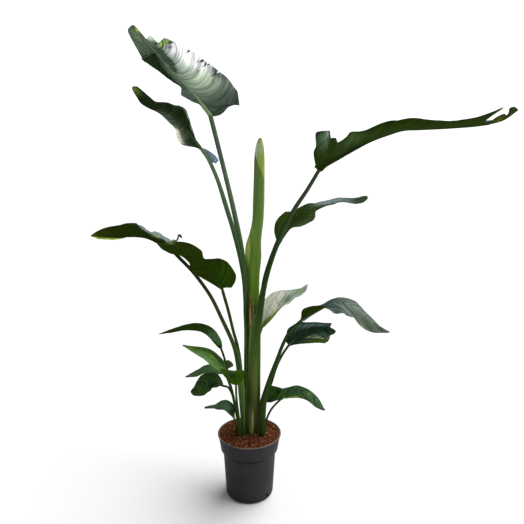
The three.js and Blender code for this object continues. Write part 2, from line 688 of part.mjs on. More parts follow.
        [0, 1], [0.058, 1.5], [0.135, 11], [0.309, 21.4], [0.436, 23.8], [0.576, 22.6], [0.726, 22.3],
        [0.901, 11.6], [1, 2],
      ],
      fold: -15,
      curl: -10,
      sweep: [[0, -1.1], [0.12, -0.5], [0.3, 0], [1, 0.5]],
    },
    stalk: [
      [57, -8, 150, 4, 4], [57, -8, 235, 4, 4], [62, -8, 285, 4, 4], [73, -7, 320, 4, 4], [89, -6, 348, 4, 4],
    ],
  },
  leaf_far_left: {
    green: 'dark', facing: 225, sides: 8, stalkEnd: 5.5, rows: 12, cells: 4, ribRows: 6,
    midrib: [
      [-258, -80, 957], [-296, -90, 980], [-333, -100, 999], [-372, -115, 1007],
      [-433, -135, 1008], [-501, -160, 1014],
    ],
    roll: 0,
    left: {
      width: [
        [0, 14], [0.14, 19], [0.25, 23], [0.32, 19], [0.378, 25], [0.433, 36], [0.474, 48],
        [0.54, 48], [0.65, 43], [0.8, 33], [0.92, 17], [1, 3],
      ],
      fold: [[0, 60], [0.4, 75], [1, 70]],
      sweep: [[0, -0.3], [0.4, 0.1], [0.5, 0.1], [1, 0.5]],
    },
    right: {
      width: [
        [0, 40], [0.09, 44], [0.196, 44], [0.25, 42], [0.296, 32], [0.332, 39.5], [0.368, 54],
        [0.42, 60], [0.6, 53], [0.8, 44], [1, 3],
      ],
      fold: [[0, 35], [0.3, 42], [0.5, 24], [0.6, -16], [1, -16]],
      sweep: [[0, -0.3], [0.3, 0.2], [1, 0.6]],
    },
    stalk: [
      [-20, -15, 150, 8, 4.5], [-23, -17, 270, 10, 5.5, 30], [-27, -20, 360, 14, 6.5, 24],
      [-31, -23, 432, 17, 7, 22], [-35, -28, 497, 16, 7.5, 24], [-43, -34, 561, 12, 7.5, 40],
      [-58, -42, 617, 8.5, 7], [-92, -54, 702, 6.8, 6.8], [-132, -64, 793, 6.3, 6.3], [-186, -72, 875, 6, 6],
      [-235, -78, 931, 6, 6],
    ],
  },
  leaf_front_left: {
    green: 'dark', facing: 225, sides: 6, stalkEnd: 5, rows: 14, cells: 4, ribRows: 6,
    midrib: [
      [-88, -100, 828], [-123, -108, 876], [-154, -116, 912], [-184, -124, 945],
      [-212, -130, 965], [-247, -136, 977], [-294, -145, 990],
    ],
    roll: [[0, 75], [1, 60]],
    left: {
      width: [
        [0, 26], [0.1, 65], [0.2, 66], [0.28, 58], [0.35, 38], [0.42, 22], [0.5, 34],
        [0.6, 32], [0.75, 22], [0.9, 10], [1, 2],
      ],
      fold: 5,
      curl: 15,
      sweep: [[0, -0.7], [0.1, -0.2], [0.3, 0.1], [1, 0.4]],
    },
    right: {
      width: [
        [0, 6], [0.1, 16], [0.25, 32], [0.35, 39], [0.43, 36], [0.5, 26], [0.62, 25],
        [0.75, 29], [0.88, 22], [1, 2],
      ],
      sweep: [[0, 0], [0.3, 0.1], [1, 0.4]],
    },
    stalk: [
      [-27, 2, 150, 5, 5], [-26, 1, 330, 5, 5], [-26, -2, 432, 5.5, 5.5], [-32, -12, 529, 5.5, 5.5],
      [-41, -28, 597, 5.5, 5.5], [-54, -50, 660, 5.5, 5.5], [-68, -76, 738, 5.5, 5.5],
      [-80, -92, 792, 5.5, 5.5],
    ],
  },
  leaf_arching_left: {
    green: 'dark', facing: 225, sides: 6, stalkEnd: 4, rows: 10, cells: 2, ribRows: 4,
    midrib: [
      [-103, -20, 588], [-123, -24, 609], [-147, -28, 637], [-177, -34, 656],
      [-228, -42, 662], [-280, -50, 655], [-319, -55, 650],
    ],
    roll: [[0, 20], [1, 0]],
    left: {
      width: [[0, 9], [0.12, 24], [0.3, 28], [0.5, 25], [0.7, 17.5], [0.85, 10], [1, 2]],
      fold: [[0, 20], [0.15, 50], [0.3, 70], [1, 70]],
      sweep: [[0, -0.3], [0.2, 0], [0.5, 0], [1, 0.3]],
    },
    right: {
      width: [[0, 16], [0.08, 28], [0.15, 31], [0.35, 32], [0.6, 26], [0.8, 16], [1, 2]],
      fold: 30,
      sweep: [[0, -0.3], [0.3, 0.2], [1, 0.5]],
    },
    stalk: [
      [-35, 11, 150, 4, 4], [-40, 7, 248, 4, 4], [-49, 0, 313, 4, 4], [-59, -8, 378, 4, 4],
      [-69, -14, 436, 4, 4], [-80, -18, 497, 4, 4], [-91, -20, 552, 4, 4],
    ],
  },
  leaf_light_left: {
    green: 'light', facing: 225, sides: 6, stalkEnd: 4, rows: 8, cells: 2, ribRows: 3,
    midrib: [[-81, -60, 512], [-116, -68, 553], [-140, -75, 577], [-171, -84, 597], [-229, -95, 624]],
    roll: [[0, -40], [1, -30]],
    left: {
      width: [[0, 6], [0.15, 24], [0.35, 30], [0.6, 22], [0.8, 12], [1, 2]],
      sweep: [[0, 0], [0.3, 0.3], [1, 0.5]],
    },
    right: {
      width: [[0, 6], [0.15, 26], [0.35, 28], [0.6, 20], [0.8, 10], [1, 2]],
      fold: 10,
      sweep: [[0, 0], [0.3, 0.3], [1, 0.5]],
    },
    stalk: [
      [-34, -4, 150, 4, 4], [-37, -10, 253, 4, 4], [-44, -21, 312, 4, 4], [-52, -33, 378, 4, 4],
      [-62, -43, 434, 4, 4], [-72, -52, 480, 4, 4],
    ],
  },
  leaf_teal_left: {
    green: 'teal', facing: 225, sides: 6, stalkEnd: 4, rows: 7, cells: 2, ribRows: 3,
    midrib: [[-94, 8, 482], [-155, 14, 491], [-197, 19, 475], [-242, 24, 456]],
    roll: -30,
    left: {
      width: [[0, 10], [0.3, 19], [0.6, 19], [0.85, 9], [1, 2]],
      sweep: [[0, -0.3], [0.25, 0.1], [0.5, 0.3], [1, 0.8]],
    },
    right: {
      width: [
        [0, 34.6], [0.03, 52], [0.06, 59], [0.09, 48], [0.14, 34], [0.25, 24], [0.4, 22], [0.65, 14],
        [1, 2],
      ],
      sweep: [[0, -0.83], [0.03, -0.45], [0.06, -0.18], [0.09, -0.12], [0.2, 0], [1, 0.5]],
    },
    stalk: [
      [-32, 28, 150, 4, 4], [-38, 25, 263, 4, 4], [-50, 20, 323, 4, 4], [-64, 14, 391, 4, 4],
      [-80, 10, 449, 4, 4],
    ],
  },
  leaf_round_left: {
    green: 'dark', facing: 225, sides: 6, stalkEnd: 4, rows: 8, cells: 2, ribRows: 3,
    midrib: [[-95, -55, 456], [-125, -62, 478], [-157, -69, 472], [-185, -76, 455], [-204, -84, 439]],
    roll: -55,
    left: {
      width: [
        [0, 2], [0.056, 6.5], [0.15, 21.4], [0.43, 33.2], [0.655, 35.5], [0.821, 27.9], [0.954, 14.6],
        [1, 5],
      ],
      fold: -10,
      sweep: [[0, 0], [0.5, 0.2], [1, 0.2]],
    },
    right: {
      width: [
        [0, 8], [0.3, 30], [0.51, 32.2], [0.609, 26], [0.718, 18.8], [0.827, 11.5], [0.948, 9.1],
        [1, 3],
      ],
      sweep: [[0, 0], [0.5, 0.2], [1, 0.2]],
    },
    stalk: [
      [-36, -15, 150, 4, 4], [-37, -23, 251, 4, 4], [-42, -36, 310, 4, 4], [-51, -48, 375, 4, 4],
      [-60, -53, 419, 4, 4], [-74, -54, 448, 4, 4],
    ],
  },
  leaf_cupped_left: {
    green: 'light', facing: 225, sides: 6, stalkEnd: 4, rows: 8, cells: 2, ribRows: 3,
    midrib: [[-46, -60, 461], [-46, -90, 499], [-45, -125, 530], [-45, -165, 554], [-44, -200, 573]],
    roll: 0,
    left: {
      width: [[0, 14], [0.25, 32], [0.5, 35], [0.75, 26], [1, 3]],
      fold: 15,
      sweep: [[0, -0.2], [0.3, 0.1], [1, 0.3]],
    },
    right: {
      width: [[0, 12], [0.25, 44], [0.5, 52], [0.75, 38], [1, 3]],
      fold: 15,
      sweep: [[0, -0.2], [0.3, 0.1], [1, 0.3]],
    },
    stalk: [
      [-26, -26, 150, 4, 4], [-29, -33, 250, 4, 4], [-35, -44, 307, 4, 4], [-41, -54, 368, 4, 4],
      [-45, -60, 417, 4, 4],
    ],
  },
  leaf_low_left: {
    green: 'teal', facing: 225, sides: 6, stalkEnd: 3, rows: 8, cells: 2, ribRows: 3,
    midrib: [[-54, -61, 335], [-63, -64, 367], [-87, -68, 384], [-119, -71, 382], [-159, -75, 379]],
    roll: -40,
    left: {
      width: [[0, 5], [0.25, 20], [0.425, 16.2], [0.616, 12], [0.74, 5.7], [0.912, 3.1], [1, 2]],
      fold: -10,
      sweep: [[0, -0.3], [0.25, 0.1], [0.5, 0.3], [1, 0.8]],
    },
    right: {
      width: [
        [0, 5], [0.2, 20], [0.36, 24.6], [0.505, 20.7], [0.586, 15.5], [0.712, 8.9], [0.82, 8.1],
        [0.976, 4.4], [1, 2],
      ],
      sweep: [[0, -0.3], [0.25, 0.1], [0.5, 0.3], [1, 0.8]],
    },
    stalk: [[-46, 0, 150, 3, 3], [-48, -2, 244, 3, 3], [-51, -34, 293, 3, 3]],
  },
};

// The newest leaf is still rolled into a spear that swells where its edge comes loose.
const SPEAR = {
  facing: 270,
  sides: 12,
  route: [
    [...onTrunk(0, 0, 150), 16, 15], [...onTrunk(0, 0, 400), 18, 17], [...onTrunk(0, 0, 620), 19, 16],
    [17, 8, 761, 17, 13], [16, 8, 854, 22, 13], [16, 6, 916, 30, 13], [17, 5, 959, 29, 13],
    [25, 4, 1002, 23, 14], [33, 3, 1052, 21, 14], [36, 2, 1122, 21, 13], [38, 1, 1208, 20, 12],
    [39, 1, 1276, 18, 9], [41, 0, 1315, 12, 5], [42, 0, 1333, 5, 2],
  ],
};

// A dry strip of an old base stands in the front gap of the trunk, with frayed points.
const DEAD_SHEATH = {
  angle: 268,
  thickness: 1,
  spread: 20,
  heights: [150, 280, 400, 520, 620, 700],
  pointsFrom: 660,
  pointThickness: 1.7,
  points: [[-13, 770, 3], [0, 786, 3.5], [12, 755, 3]],
};

function buildSpear() {
  const facing = new THREE.Vector3(Math.cos(degrees(SPEAR.facing)), Math.sin(degrees(SPEAR.facing)), 0);
  return ringsSolid(stalkRings(SPEAR.route, facing, SPEAR.sides));
}

function buildDeadSheath() {
  const { angle, thickness, spread, heights, pointsFrom, pointThickness, points } = DEAD_SHEATH;
  const outward = new THREE.Vector3(Math.cos(degrees(angle)), Math.sin(degrees(angle)), 0);
  const base = sheath(angle, INNER_RING, spread, thickness, heights);
  const baseTop = heights[heights.length - 1];
  const strips = points.map(([turn, top, half]) => {
    const route = [pointsFrom, baseTop, (baseTop + top) / 2, top].map((height, i) => [
      ...onTrunk(angle + turn, INNER_RING, height), half * (1 - i * 0.22), pointThickness * (1 - i * 0.15),
    ]);
    return ringsSolid(stalkRings(route, outward, 6));
  });
  return strips.reduce((whole, strip) => whole.add(strip), ringsSolid(stalkRings(base, outward, 10)));
}

// Everything under the roots' level is cut off level, and stands in a plain hole in the soil.
const BELOW_ROOTS = block(FLAT, FLAT, HOLE_HEIGHT, 0, 0, ROOT_HEIGHT + GAP - HOLE_HEIGHT / 2);

function standing(solid) {
  return largestPiece(solid.subtract(BELOW_ROOTS));
}

function roundHole(x, y, radius, segments) {
  const hole = new THREE.CylinderGeometry(radius, radius, HOLE_HEIGHT, segments).rotateX(Math.PI / 2);
  return toSolid(hole.translate(x, y, ROOT_HEIGHT + HOLE_HEIGHT / 2));
}

// The trunk stands in one hole, and each thin stalk of the side shoots in its own.
function soilHoles() {
  const trunk = roundHole(TRUNK_FOOT.x, TRUNK_FOOT.y, TRUNK_HOLE, 20);
  const deeper = block(FLAT, FLAT, HOLE_HEIGHT, 0, 0, ROOT_HEIGHT - HOLE_HEIGHT / 2);
  const thin = Object.values(LEAVES).filter((leaf) => !leaf.inTrunk).map((leaf) => {
    const facing = new THREE.Vector3(Math.cos(degrees(leaf.facing)), Math.sin(degrees(leaf.facing)), 0);
    const wider = leaf.stalk.slice(0, 3).map(([x, y, z, half, thick, cup]) => [
      x, y, z, half + THIN_HOLE_SLACK, thick + THIN_HOLE_SLACK, cup,
    ]);
    return ringsSolid(stalkRings(wider, facing, 6)).subtract(deeper);
  });
  return [trunk, ...thin];
}

function mesh(name, solid, look) {
  const made = new THREE.Mesh(toGeometry(solid), new THREE.MeshStandardMaterial(look));
  made.name = name;
  return made;
}

const group = new THREE.Group();
group.add(mesh('pot', buildPot(), { color: 0x2d2b30, roughness: 0.6 }));
group.add(mesh('soil', buildSoil(soilHoles()), { color: 0x5a3524, roughness: 1 }));
group.add(mesh('leaf_spear', standing(buildSpear()), { color: 0x84a052, roughness: 0.55 }));
group.add(mesh('dead_sheath', standing(buildDeadSheath()), { color: 0x8d7358, roughness: 0.9 }));
for (const [name, leaf] of Object.entries(LEAVES)) {
  group.add(mesh(name, standing(buildLeaf(leaf)), GREENS[leaf.green]));
}

export default group;
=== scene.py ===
import math

import bpy
import numpy as np
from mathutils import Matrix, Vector


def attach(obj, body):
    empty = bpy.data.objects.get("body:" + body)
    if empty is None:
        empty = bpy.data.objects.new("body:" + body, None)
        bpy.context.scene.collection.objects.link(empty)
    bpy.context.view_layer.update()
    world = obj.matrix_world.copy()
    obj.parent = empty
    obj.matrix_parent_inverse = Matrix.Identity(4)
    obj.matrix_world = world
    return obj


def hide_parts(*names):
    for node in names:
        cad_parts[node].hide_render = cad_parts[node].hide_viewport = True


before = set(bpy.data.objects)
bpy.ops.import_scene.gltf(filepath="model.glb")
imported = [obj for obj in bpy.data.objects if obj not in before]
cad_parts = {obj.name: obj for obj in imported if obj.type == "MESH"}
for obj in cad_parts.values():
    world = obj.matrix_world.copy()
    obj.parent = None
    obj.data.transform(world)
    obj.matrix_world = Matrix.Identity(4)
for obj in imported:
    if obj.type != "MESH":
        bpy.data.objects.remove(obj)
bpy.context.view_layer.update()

# Lengths are in millimetres, as in the part's source, and become metres in make_piece.
MM = 0.001
SEED = 7

# Pot
POT_HEIGHT = 244
RIM_RADIUS = 120
RIM_DEPTH = 4
COLLAR_TOP_RADIUS = 117
COLLAR_FOOT_RADIUS = 109.5
COLLAR_FOOT_HEIGHT = 184
NECK_HEIGHT = 170
BODY_TOP_RADIUS = 99
BODY_FOOT_RADIUS = 90
FOOT_ROUNDING = 12
FOOT_ARC_STEP = 15
NECK_BEND = 4
COLLAR_EDGE = 1
COLLAR_SHOULDER = (0.6, 3.5)
RIM_SLOPE = 1.5
WALL = 3
POT_ROUNDING = 1.6
MOST_OF_A_SIDE = 0.45
POT_COLUMN_STEP = 2.5
POT_COLUMN_SHIFT = 0.3
DRAIN_HOLES = 3
DRAIN_HOLE_WIDTH = 12
DRAIN_HOLE_HEIGHT = 8
DRAIN_HOLE_LEVEL = 20
# A row this far above a drain hole keeps its painted shade from spreading up the wall.
DRAIN_SHADOW_EDGE = 1.5
FIRST_DRAIN_ANGLE = 319
HOLE_EDGE_ALLOWANCE = 0.01
# A painted shadow under the collar: a near-black band on the outside, beyond this radius and between these
# heights.
COLLAR_SHADOW_RADIUS = BODY_TOP_RADIUS + 1
COLLAR_SHADOW_HEIGHTS = (NECK_HEIGHT + NECK_BEND, COLLAR_FOOT_HEIGHT + 1.2)
RIM_TINT_HEIGHT = POT_HEIGHT - 0.5
POT_TINT = (43, 41, 44)
COLLAR_SHADOW_TINT = (4, 3, 4)
# Painted shade: the walls of each drain hole are tinted near black.
DRAIN_HOLE_SHADOW_TINT = (2, 2, 2)
RIM_TINT = (112, 100, 90)

# Soil, and what lies on it. A pair of tints is dark and pale, and a pair of sizes is least and most.
SOIL_LEVEL = 241.5
SOIL_CROWN = 2
SOIL_CROWN_RADIUS = 60
SOIL_EDGE = 113.2
SOIL_EDGE_DROP = 1.5
SOIL_EDGE_WIDTH = 11
SOIL_WAVES = ((70, 1.6), (31, 1.1), (17, 0.9), (9, 0.8), (5, 0.6), (3.1, 0.35))
WAVES_OF_A_SIZE = 3
WAVE_CALMING = 1.7
SOIL_SIDES = 300
SOIL_RINGS = 130
SOIL_GAP = 0.5
POLE_RADIUS = 0.01
SOIL_TINT = (98, 56, 36)
CRUMB_TINTS = ((34, 15, 7), (158, 86, 50))
SPREAD = 0.95
FIBRES = 1500
FIBRE_ROWS = 7
FIBRE_SIDES = 3
FIBRE_LENGTHS = (6, 22)
FIBRE_ARCHES = (0.5, 3.2)
FIBRE_RADII = (0.25, 0.6)
FIBRE_CURL = 1.4
FIBRE_LIFT = 0.3
FIBRE_DIP = 5
FIBRE_TAPER = 1.6
FIBRE_EDGE_GAP = 1
FIBRE_DARKNESS = 2.5
FIBRE_TINTS = ((70, 32, 16), (190, 128, 80))
CHIPS = 260
CHIP_SIZES = (1.5, 5.5)
CHIP_SLIMNESS = 0.55
CHIP_UNEVENNESS = (0.6, 1.1)
CHIP_THICKNESSES = (0.4, 1.1)
CHIP_TILT = 0.35
CHIP_LIFT = 0.9
CHIP_TOP_SHARE = 0.85
CHIP_EDGE_GAP = 0.5
CHIP_DARKNESS = 3
CHIP_TINTS = ((62, 30, 16), (206, 160, 110))

# Trunk
ROOT_HEIGHT = 170
TRUNK_FOOT = (9.5, 10, 170)
TRUNK_TOP = (14, 5, 780)
OUTER_RING = 29.5
INNER_RING = 23.3
TRUNK_TAPER = 0.88
TAPER_END = 400
SHEATH_HEIGHTS = (150, 280, 400, 520)

# Leaves
BLADE_HALF_THICKNESS = 0.6
MARGIN_THINNING = 0.5
LEAST_MARGIN = 1
SWEEP_POWER = 1.4
FLIP_BEND = 0.12
RIPPLE_SPACINGS = (90, 47, 23)
RIPPLE_HEIGHT = 1.2
RIPPLE_LEAN = 1.5
CALM_WIDTH = 40
PLEAT_SPACING = 11
PLEAT_HEIGHT = 0.25
RIB_SLANT = 0.4
RIB_BOW = 6
BOW_POWER = 0.6
MIDRIB_ROWS = 60
MIDRIB_END = 0.86
MIDRIB_TIP = 1.1
MIDRIB_TAPER = 4.6
MIDRIB_DEPTH = 0.7
TEAR_WIDTH = 0.006
STEP_WIDTH = 0.045
ROW_STEP = 2.6
CELLS = 30
STALK_SIDES = 28
STALK_MAP_GIRTH = 6
STEPS_PER_SPAN = 14
CURVE_STEPS = 200
FLAT = 400
UPPER_FACE, UNDER_FACE, STALK = 0, 1, 2

# Rolled leaf
SPEAR_SIDES = 64
SPEAR_FACING = 270
SPEAR_STEP = 0.09
SPEAR_EDGE_HEIGHT = 1232
SPEAR_EDGE_RISE = 48
SPEAR_EDGE_BLUR = 8
# Painted shadow: how dark the roll is drawn along its outer edge and beside its step.
SPEAR_EDGE_SHADOW = 1.4
SPEAR_STEP_SHADOW = 0.1
SPEAR_STEP_BLUR = 0.2
SPEAR_MAP_GIRTH = 20
SPEAR_MAP_LEAN = 0.5
SPEAR_TINT = (95, 126, 54)
SPEAR_TOP_TINT = (150, 164, 82)

# Dry sheath: one broad strip, as (turn, half spread, half thickness, top height), and threads round it.
DRY_FACING = 268
DRY_ROWS = 24
DRY_STEPS = 4
DRY_STRIP = (-4, 20, 1.0, 742)
DRY_STRIP_SHADE = 0.03
DRY_FOOT = 150
DRY_TIP_LENGTH = 60
DRY_TIP_SHARE = 0.15
THREAD_SPREADS = (1.2, 3.2)
THREAD_THICKNESS = 0.5
THREAD_RING = INNER_RING + 1
THREAD_SWAY = 2
THREAD_SWAY_HEIGHT = 37
THREAD_DARKNESS = 1.3
DRY_TINTS = ((52, 22, 10), (250, 206, 140))

# Finishes. A depth of relief is in metres.
SKIN_DEPTH = 0.002
FINE_RELIEF = 1.6
BAND_RELIEF = 0.35
BAND_WAVER = 1.2
CRUMB_STOPS = (0.38, 0.68)
LIGHT_THROUGH = 0.05
LIT_THROUGH_TINT = (0.2, 0.34, 0.01, 1)
LIT_THROUGH_SHARE = 0.3

# Light and camera
FLOOR_REACH = 30
FLOOR_WHITE = 0.93
BACKDROP_LIGHT = 1.2
WORLD_LIGHT = 0.26
WORLD_TINT = (0.97, 0.985, 1.0, 1)
SUN_LIGHT = 4.4
SUN_WIDTH = 88
SUN_PLACE = (1.0, 0.42, 0.9)
CAMERA_PLACE = (48, -1720, 1205)
CAMERA_DOWN = 10
LENS = 33.53
FILM_WIDTH = 36


def along(pairs, u):
    """A smooth curve through [station, value] pairs that never overshoots them, read at every u:
    a cubic between pairs whose slope at a pair is the harmonic mean of the slopes beside it. A plain
    number stands for the same value everywhere."""
    if isinstance(pairs, (int, float)):
        return np.full(np.shape(u), float(pairs))
    stations, values = np.array(pairs, float).T
    secant = np.diff(values) / np.diff(stations)
    product = secant[:-1] * secant[1:]
    total = np.where(product > 0, secant[:-1] + secant[1:], 1)
    inner = np.where(product > 0, 2 * product / total, 0)
    slope = np.concatenate([secant[:1], inner, secant[-1:]])
    i = np.clip(np.searchsorted(stations, u, side="right") - 1, 0, len(secant) - 1)
    span = np.diff(stations)[i]
    k = np.clip((u - stations[i]) / span, 0, 1)
    return (
        (1 + 2 * k) * (1 - k) ** 2 * values[i]
        + k * (1 - k) ** 2 * span * slope[i]
        + k * k * (3 - 2 * k) * values[i + 1]
        + k * k * (k - 1) * span * slope[i + 1]
    )


def unit(vectors):
    """Vectors divided by their length."""
    return vectors / np.linalg.norm(vectors, axis=-1, keepdims=True)


def smooth_step(x):
    """0 up to 0, 1 from 1 on, and three squares less two cubes between."""
    k = np.clip(x, 0, 1)
    return k * k * (3 - 2 * k)


def full_turn(sides):
    """Even angles once round a circle."""
    return 2 * np.pi * np.arange(sides) / sides


def travelled(points):
    """The length along a line of points, from 0 at the first."""
    return np.concatenate([[0], np.cumsum(np.linalg.norm(np.diff(points, axis=0), axis=1))])


def ends_doubled(rows):
    """The rows with the first and last one repeated, as a tube has them whose ends are closed."""
    return np.concatenate([rows[:1], rows, rows[-1:]])


def spline(points, steps):
    """A Catmull-Rom curve through rows of numbers, with the same count of steps between knots.
    Every column is interpolated alike. Returns the rows and their derivative."""
    p = np.array(points, float)
    padded = np.vstack([2 * p[0] - p[1], p, 2 * p[-1] - p[-2]])
    place = np.linspace(0, len(p) - 1, (len(p) - 1) * steps + 1)
    i = np.minimum(place.astype(int), len(p) - 2)
    t = (place - i)[:, None]
    a, b, c, d = (padded[i + k] for k in range(4))
    square, cube = 2 * a - 5 * b + 4 * c - d, 3 * b - a - 3 * c + d
    rows = 0.5 * (2 * b + (c - a) * t + square * t**2 + cube * t**3)
    slope = 0.5 * ((c - a) + 2 * square * t + 3 * cube * t**2)
    return rows, slope


def rooted_spline(route, steps):
    """The rows of a spline above ROOT_HEIGHT and their directions."""
    rows, slope = spline(route, steps)
    keep = rows[:, 2] > ROOT_HEIGHT
    return rows[keep], unit(slope[keep, :3])


def even_curve(points, u):
    """Points, directions and the whole length of the spline, read at even shares u of its length."""
    rows, slope = spline(points, CURVE_STEPS)
    length = travelled(rows)
    at = u * length[-1]
    place = np.stack([np.interp(at, length, rows[:, k]) for k in range(3)], axis=-1)
    forward = np.stack([np.interp(at, length, slope[:, k]) for k in range(3)], axis=-1)
    return place, unit(forward), length[-1]


def facing_vector(angle):
    """The level direction at an angle in degrees from the right, turning away from the viewer."""
    turn = math.radians(angle)
    return np.array([math.cos(turn), math.sin(turn), 0.0])


def trunk_draw(height):
    """The share of its radius that a ring of the trunk keeps: it grows evenly up to TAPER_END."""
    rise = min(max((height - ROOT_HEIGHT) / (TAPER_END - ROOT_HEIGHT), 0), 1)
    return TRUNK_TAPER + (1 - TRUNK_TAPER) * rise


def on_trunk(angle, ring, height):
    """A point on the trunk's ring of leaf bases, round an axis that leans from foot to top."""
    foot, top = np.array(TRUNK_FOOT, float), np.array(TRUNK_TOP, float)
    centre = foot + (top - foot) * (height - ROOT_HEIGHT) / (top[2] - foot[2])
    place = centre + facing_vector(angle) * ring * trunk_draw(height)
    return [place[0], place[1], height]


def sheath(angle, ring, spread, thickness, heights=SHEATH_HEIGHTS):
    """A clasping base: stalk rows bent to the ring, up to where the stalk leaves it."""
    rows = []
    for height in heights:
        cup = ring * trunk_draw(height)
        rows.append([*on_trunk(angle, ring, height), cup * math.radians(spread), thickness, cup])
    return rows


def ring_sections(rows, forward, facing, sides):
    """Rings round a path whose rows are [x, y, z, half width, half thickness, bend]: ellipses rolled
    round an axis that lies at cup = 1 / bend behind them, as seen from the side that they face. At
    turn a, the point is at reach cup + thickness sin a, at angle half width cos a / cup."""
    outward = facing_vector(facing)
    outward = unit(outward - np.sum(outward * forward, axis=-1, keepdims=True) * forward)
    across = np.cross(forward, outward)
    turn = full_turn(sides)
    half, thickness, bend = rows[:, 3:6, None].swapaxes(0, 1)
    cup = 1 / bend
    angle = half * np.cos(turn) / cup
    reach = cup + thickness * np.sin(turn)
    side = (reach * np.sin(angle))[..., None] * across[:, None]
    out = (reach * np.cos(angle) - cup)[..., None] * outward[:, None]
    return rows[:, None, :3] + side + out


def closed_rings(rings, rows):
    """Rings drawn to the path's own point at each end."""
    first, last = (rows[k, :3] + np.zeros_like(rings[:1]) for k in (0, -1))
    return np.concatenate([first, rings, last])


def grid_quads(rows, columns, closed=False):
    """Quads between neighbours of a grid of points, row by row, joined round when closed."""
    last = columns if closed else columns - 1
    row, column = np.meshgrid(np.arange(rows - 1), np.arange(last), indexing="ij")
    a = row * columns + column
    b = row * columns + (column + 1) % columns
    return np.stack([a, b, b + columns, a + columns], axis=-1).reshape(-1, 4)


class Surface:
    """Grids of points gathered for one piece: places, faces, map coordinates, tints and finishes.
    Map coordinates and tints are one value for a whole grid, or one for each point."""

    def __init__(self):
        self.points, self.quads, self.maps, self.tints, self.slots = [], [], [], [], []
        self.count = 0

    def add(self, points, quads, maps, tints, slot):
        points = points.reshape(-1, 3)
        self.points.append(points)
        self.maps.append(np.broadcast_to(maps.reshape(-1, 2), (len(points), 2)))
        self.tints.append(np.broadcast_to(tints.reshape(-1, 3), (len(points), 3)))
        self.add_quads(quads + self.count, slot)
        self.count += len(points)

    def add_quads(self, quads, slot):
        """Faces between points that are already there."""
        self.quads.append(quads)
        self.slots.append(np.full(len(quads), slot, np.int32))


def make_piece(name, surface, materials, sharp_angle=60):
    """Puts a surface into a mesh object, with its map coordinates and its tint attribute."""
    points = np.concatenate(surface.points) * MM
    quads = np.concatenate(surface.quads).astype(np.int32)
    mesh = bpy.data.meshes.new(name)
    mesh.vertices.add(len(points))
    mesh.vertices.foreach_set("co", points.astype(np.float32).ravel())
    mesh.loops.add(quads.size)
    mesh.loops.foreach_set("vertex_index", quads.ravel())
    mesh.polygons.add(len(quads))
    mesh.polygons.foreach_set("loop_start", np.arange(0, quads.size, 4, dtype=np.int32))
    mesh.polygons.foreach_set("material_index", np.concatenate(surface.slots))
    mesh.polygons.foreach_set("use_smooth", np.ones(len(quads), bool))
    for material in materials:
        mesh.materials.append(MATERIALS[material])
    mesh.update(calc_edges=True)
    maps = np.concatenate(surface.maps)[quads.ravel()]
    mesh.uv_layers.new(name="Surface").data.foreach_set("uv", maps.astype(np.float32).ravel())
    tints = np.concatenate(surface.tints)
    tints = np.concatenate([tints, np.ones((len(tints), 1))], axis=1)
    attribute = mesh.color_attributes.new("Tint", "FLOAT_COLOR", "POINT")
    attribute.data.foreach_set("color", tints.astype(np.float32).ravel())
    mesh.set_sharp_from_angle(angle=math.radians(sharp_angle))
    piece = bpy.data.objects.new(name, mesh)
    bpy.context.scene.collection.objects.link(piece)
    return piece


def colour(red, green, blue):
    """A linear colour from the 0 to 255 numbers of a colour picker."""
    share = np.array([red, green, blue]) / 255
    return np.where(share <= 0.04045, share / 12.92, ((share + 0.055) / 1.055) ** 2.4)


def between(tints, share):
    """A colour that lies at a share of the way from the first tint to the second."""
    dark, pale = (colour(*tint) for tint in tints)
    return dark + (pale - dark) * share


def painted(base, strokes, u, across):
    """Base colours with soft strokes laid over them. A stroke is [station, place across, half length,
    half breadth, strength, red, green, blue]. Its share fades as a bell curve from its middle, and
    where the curve passes 1 the stroke covers fully."""
    tint = np.broadcast_to(base, (*u.shape, 3)).copy()
    for station, place, length, breadth, strength, *rgb in strokes:
        share = strength * np.exp(-(((u - station) / length) ** 2) - ((across - place) / breadth) ** 2)
        tint += (colour(*rgb) - tint) * np.minimum(share, 1)[..., None]
    return tint


def blade_frame(leaf, u):
    """At each station: the midrib's point and direction, the way across it and its upper side."""
    point, forward, length = even_curve(leaf["midrib"], u)
    level = unit(np.array([0, 0, 1.0]) - forward * forward[:, 2:])
    side = np.cross(forward, level)
    roll = np.radians(along(leaf["roll"], u))[:, None]
    across = side * np.cos(roll) - level * np.sin(roll)
    upper = level * np.cos(roll) + side * np.sin(roll)
    return point, forward, across, upper, length


def margin_width(half, u):
    """The width of half a blade at each station, less a sharp notch at each tear."""
    width = np.maximum(along(half["width"], u), LEAST_MARGIN)
    for station, depth in half.get("tears", []):
        width = width * (1 - depth * np.clip(1 - np.abs(u - station) / TEAR_WIDTH, 0, 1))
    return width


def lift_angle(half, u, t):
    """How far the blade has turned up from flat at a share t of the way from midrib to margin."""
    angle = along(half.get("fold", 0), u) + along(half.get("curl", 0), u) * t
    if "flip" in half:
        turn = along(half["flip"]["turn"], u)
        angle = angle + turn * smooth_step((t - along(half["flip"]["start"], u)) / FLIP_BEND)
    return np.radians(angle)


def running_integral(values, t):
    """The running integral of values over t, with straight lines between its columns."""
    steps = np.diff(t, axis=1) * ((values[:, 1:] + values[:, :-1]) / 2)
    return np.hstack([np.zeros((len(t), 1)), np.cumsum(steps, axis=1)])


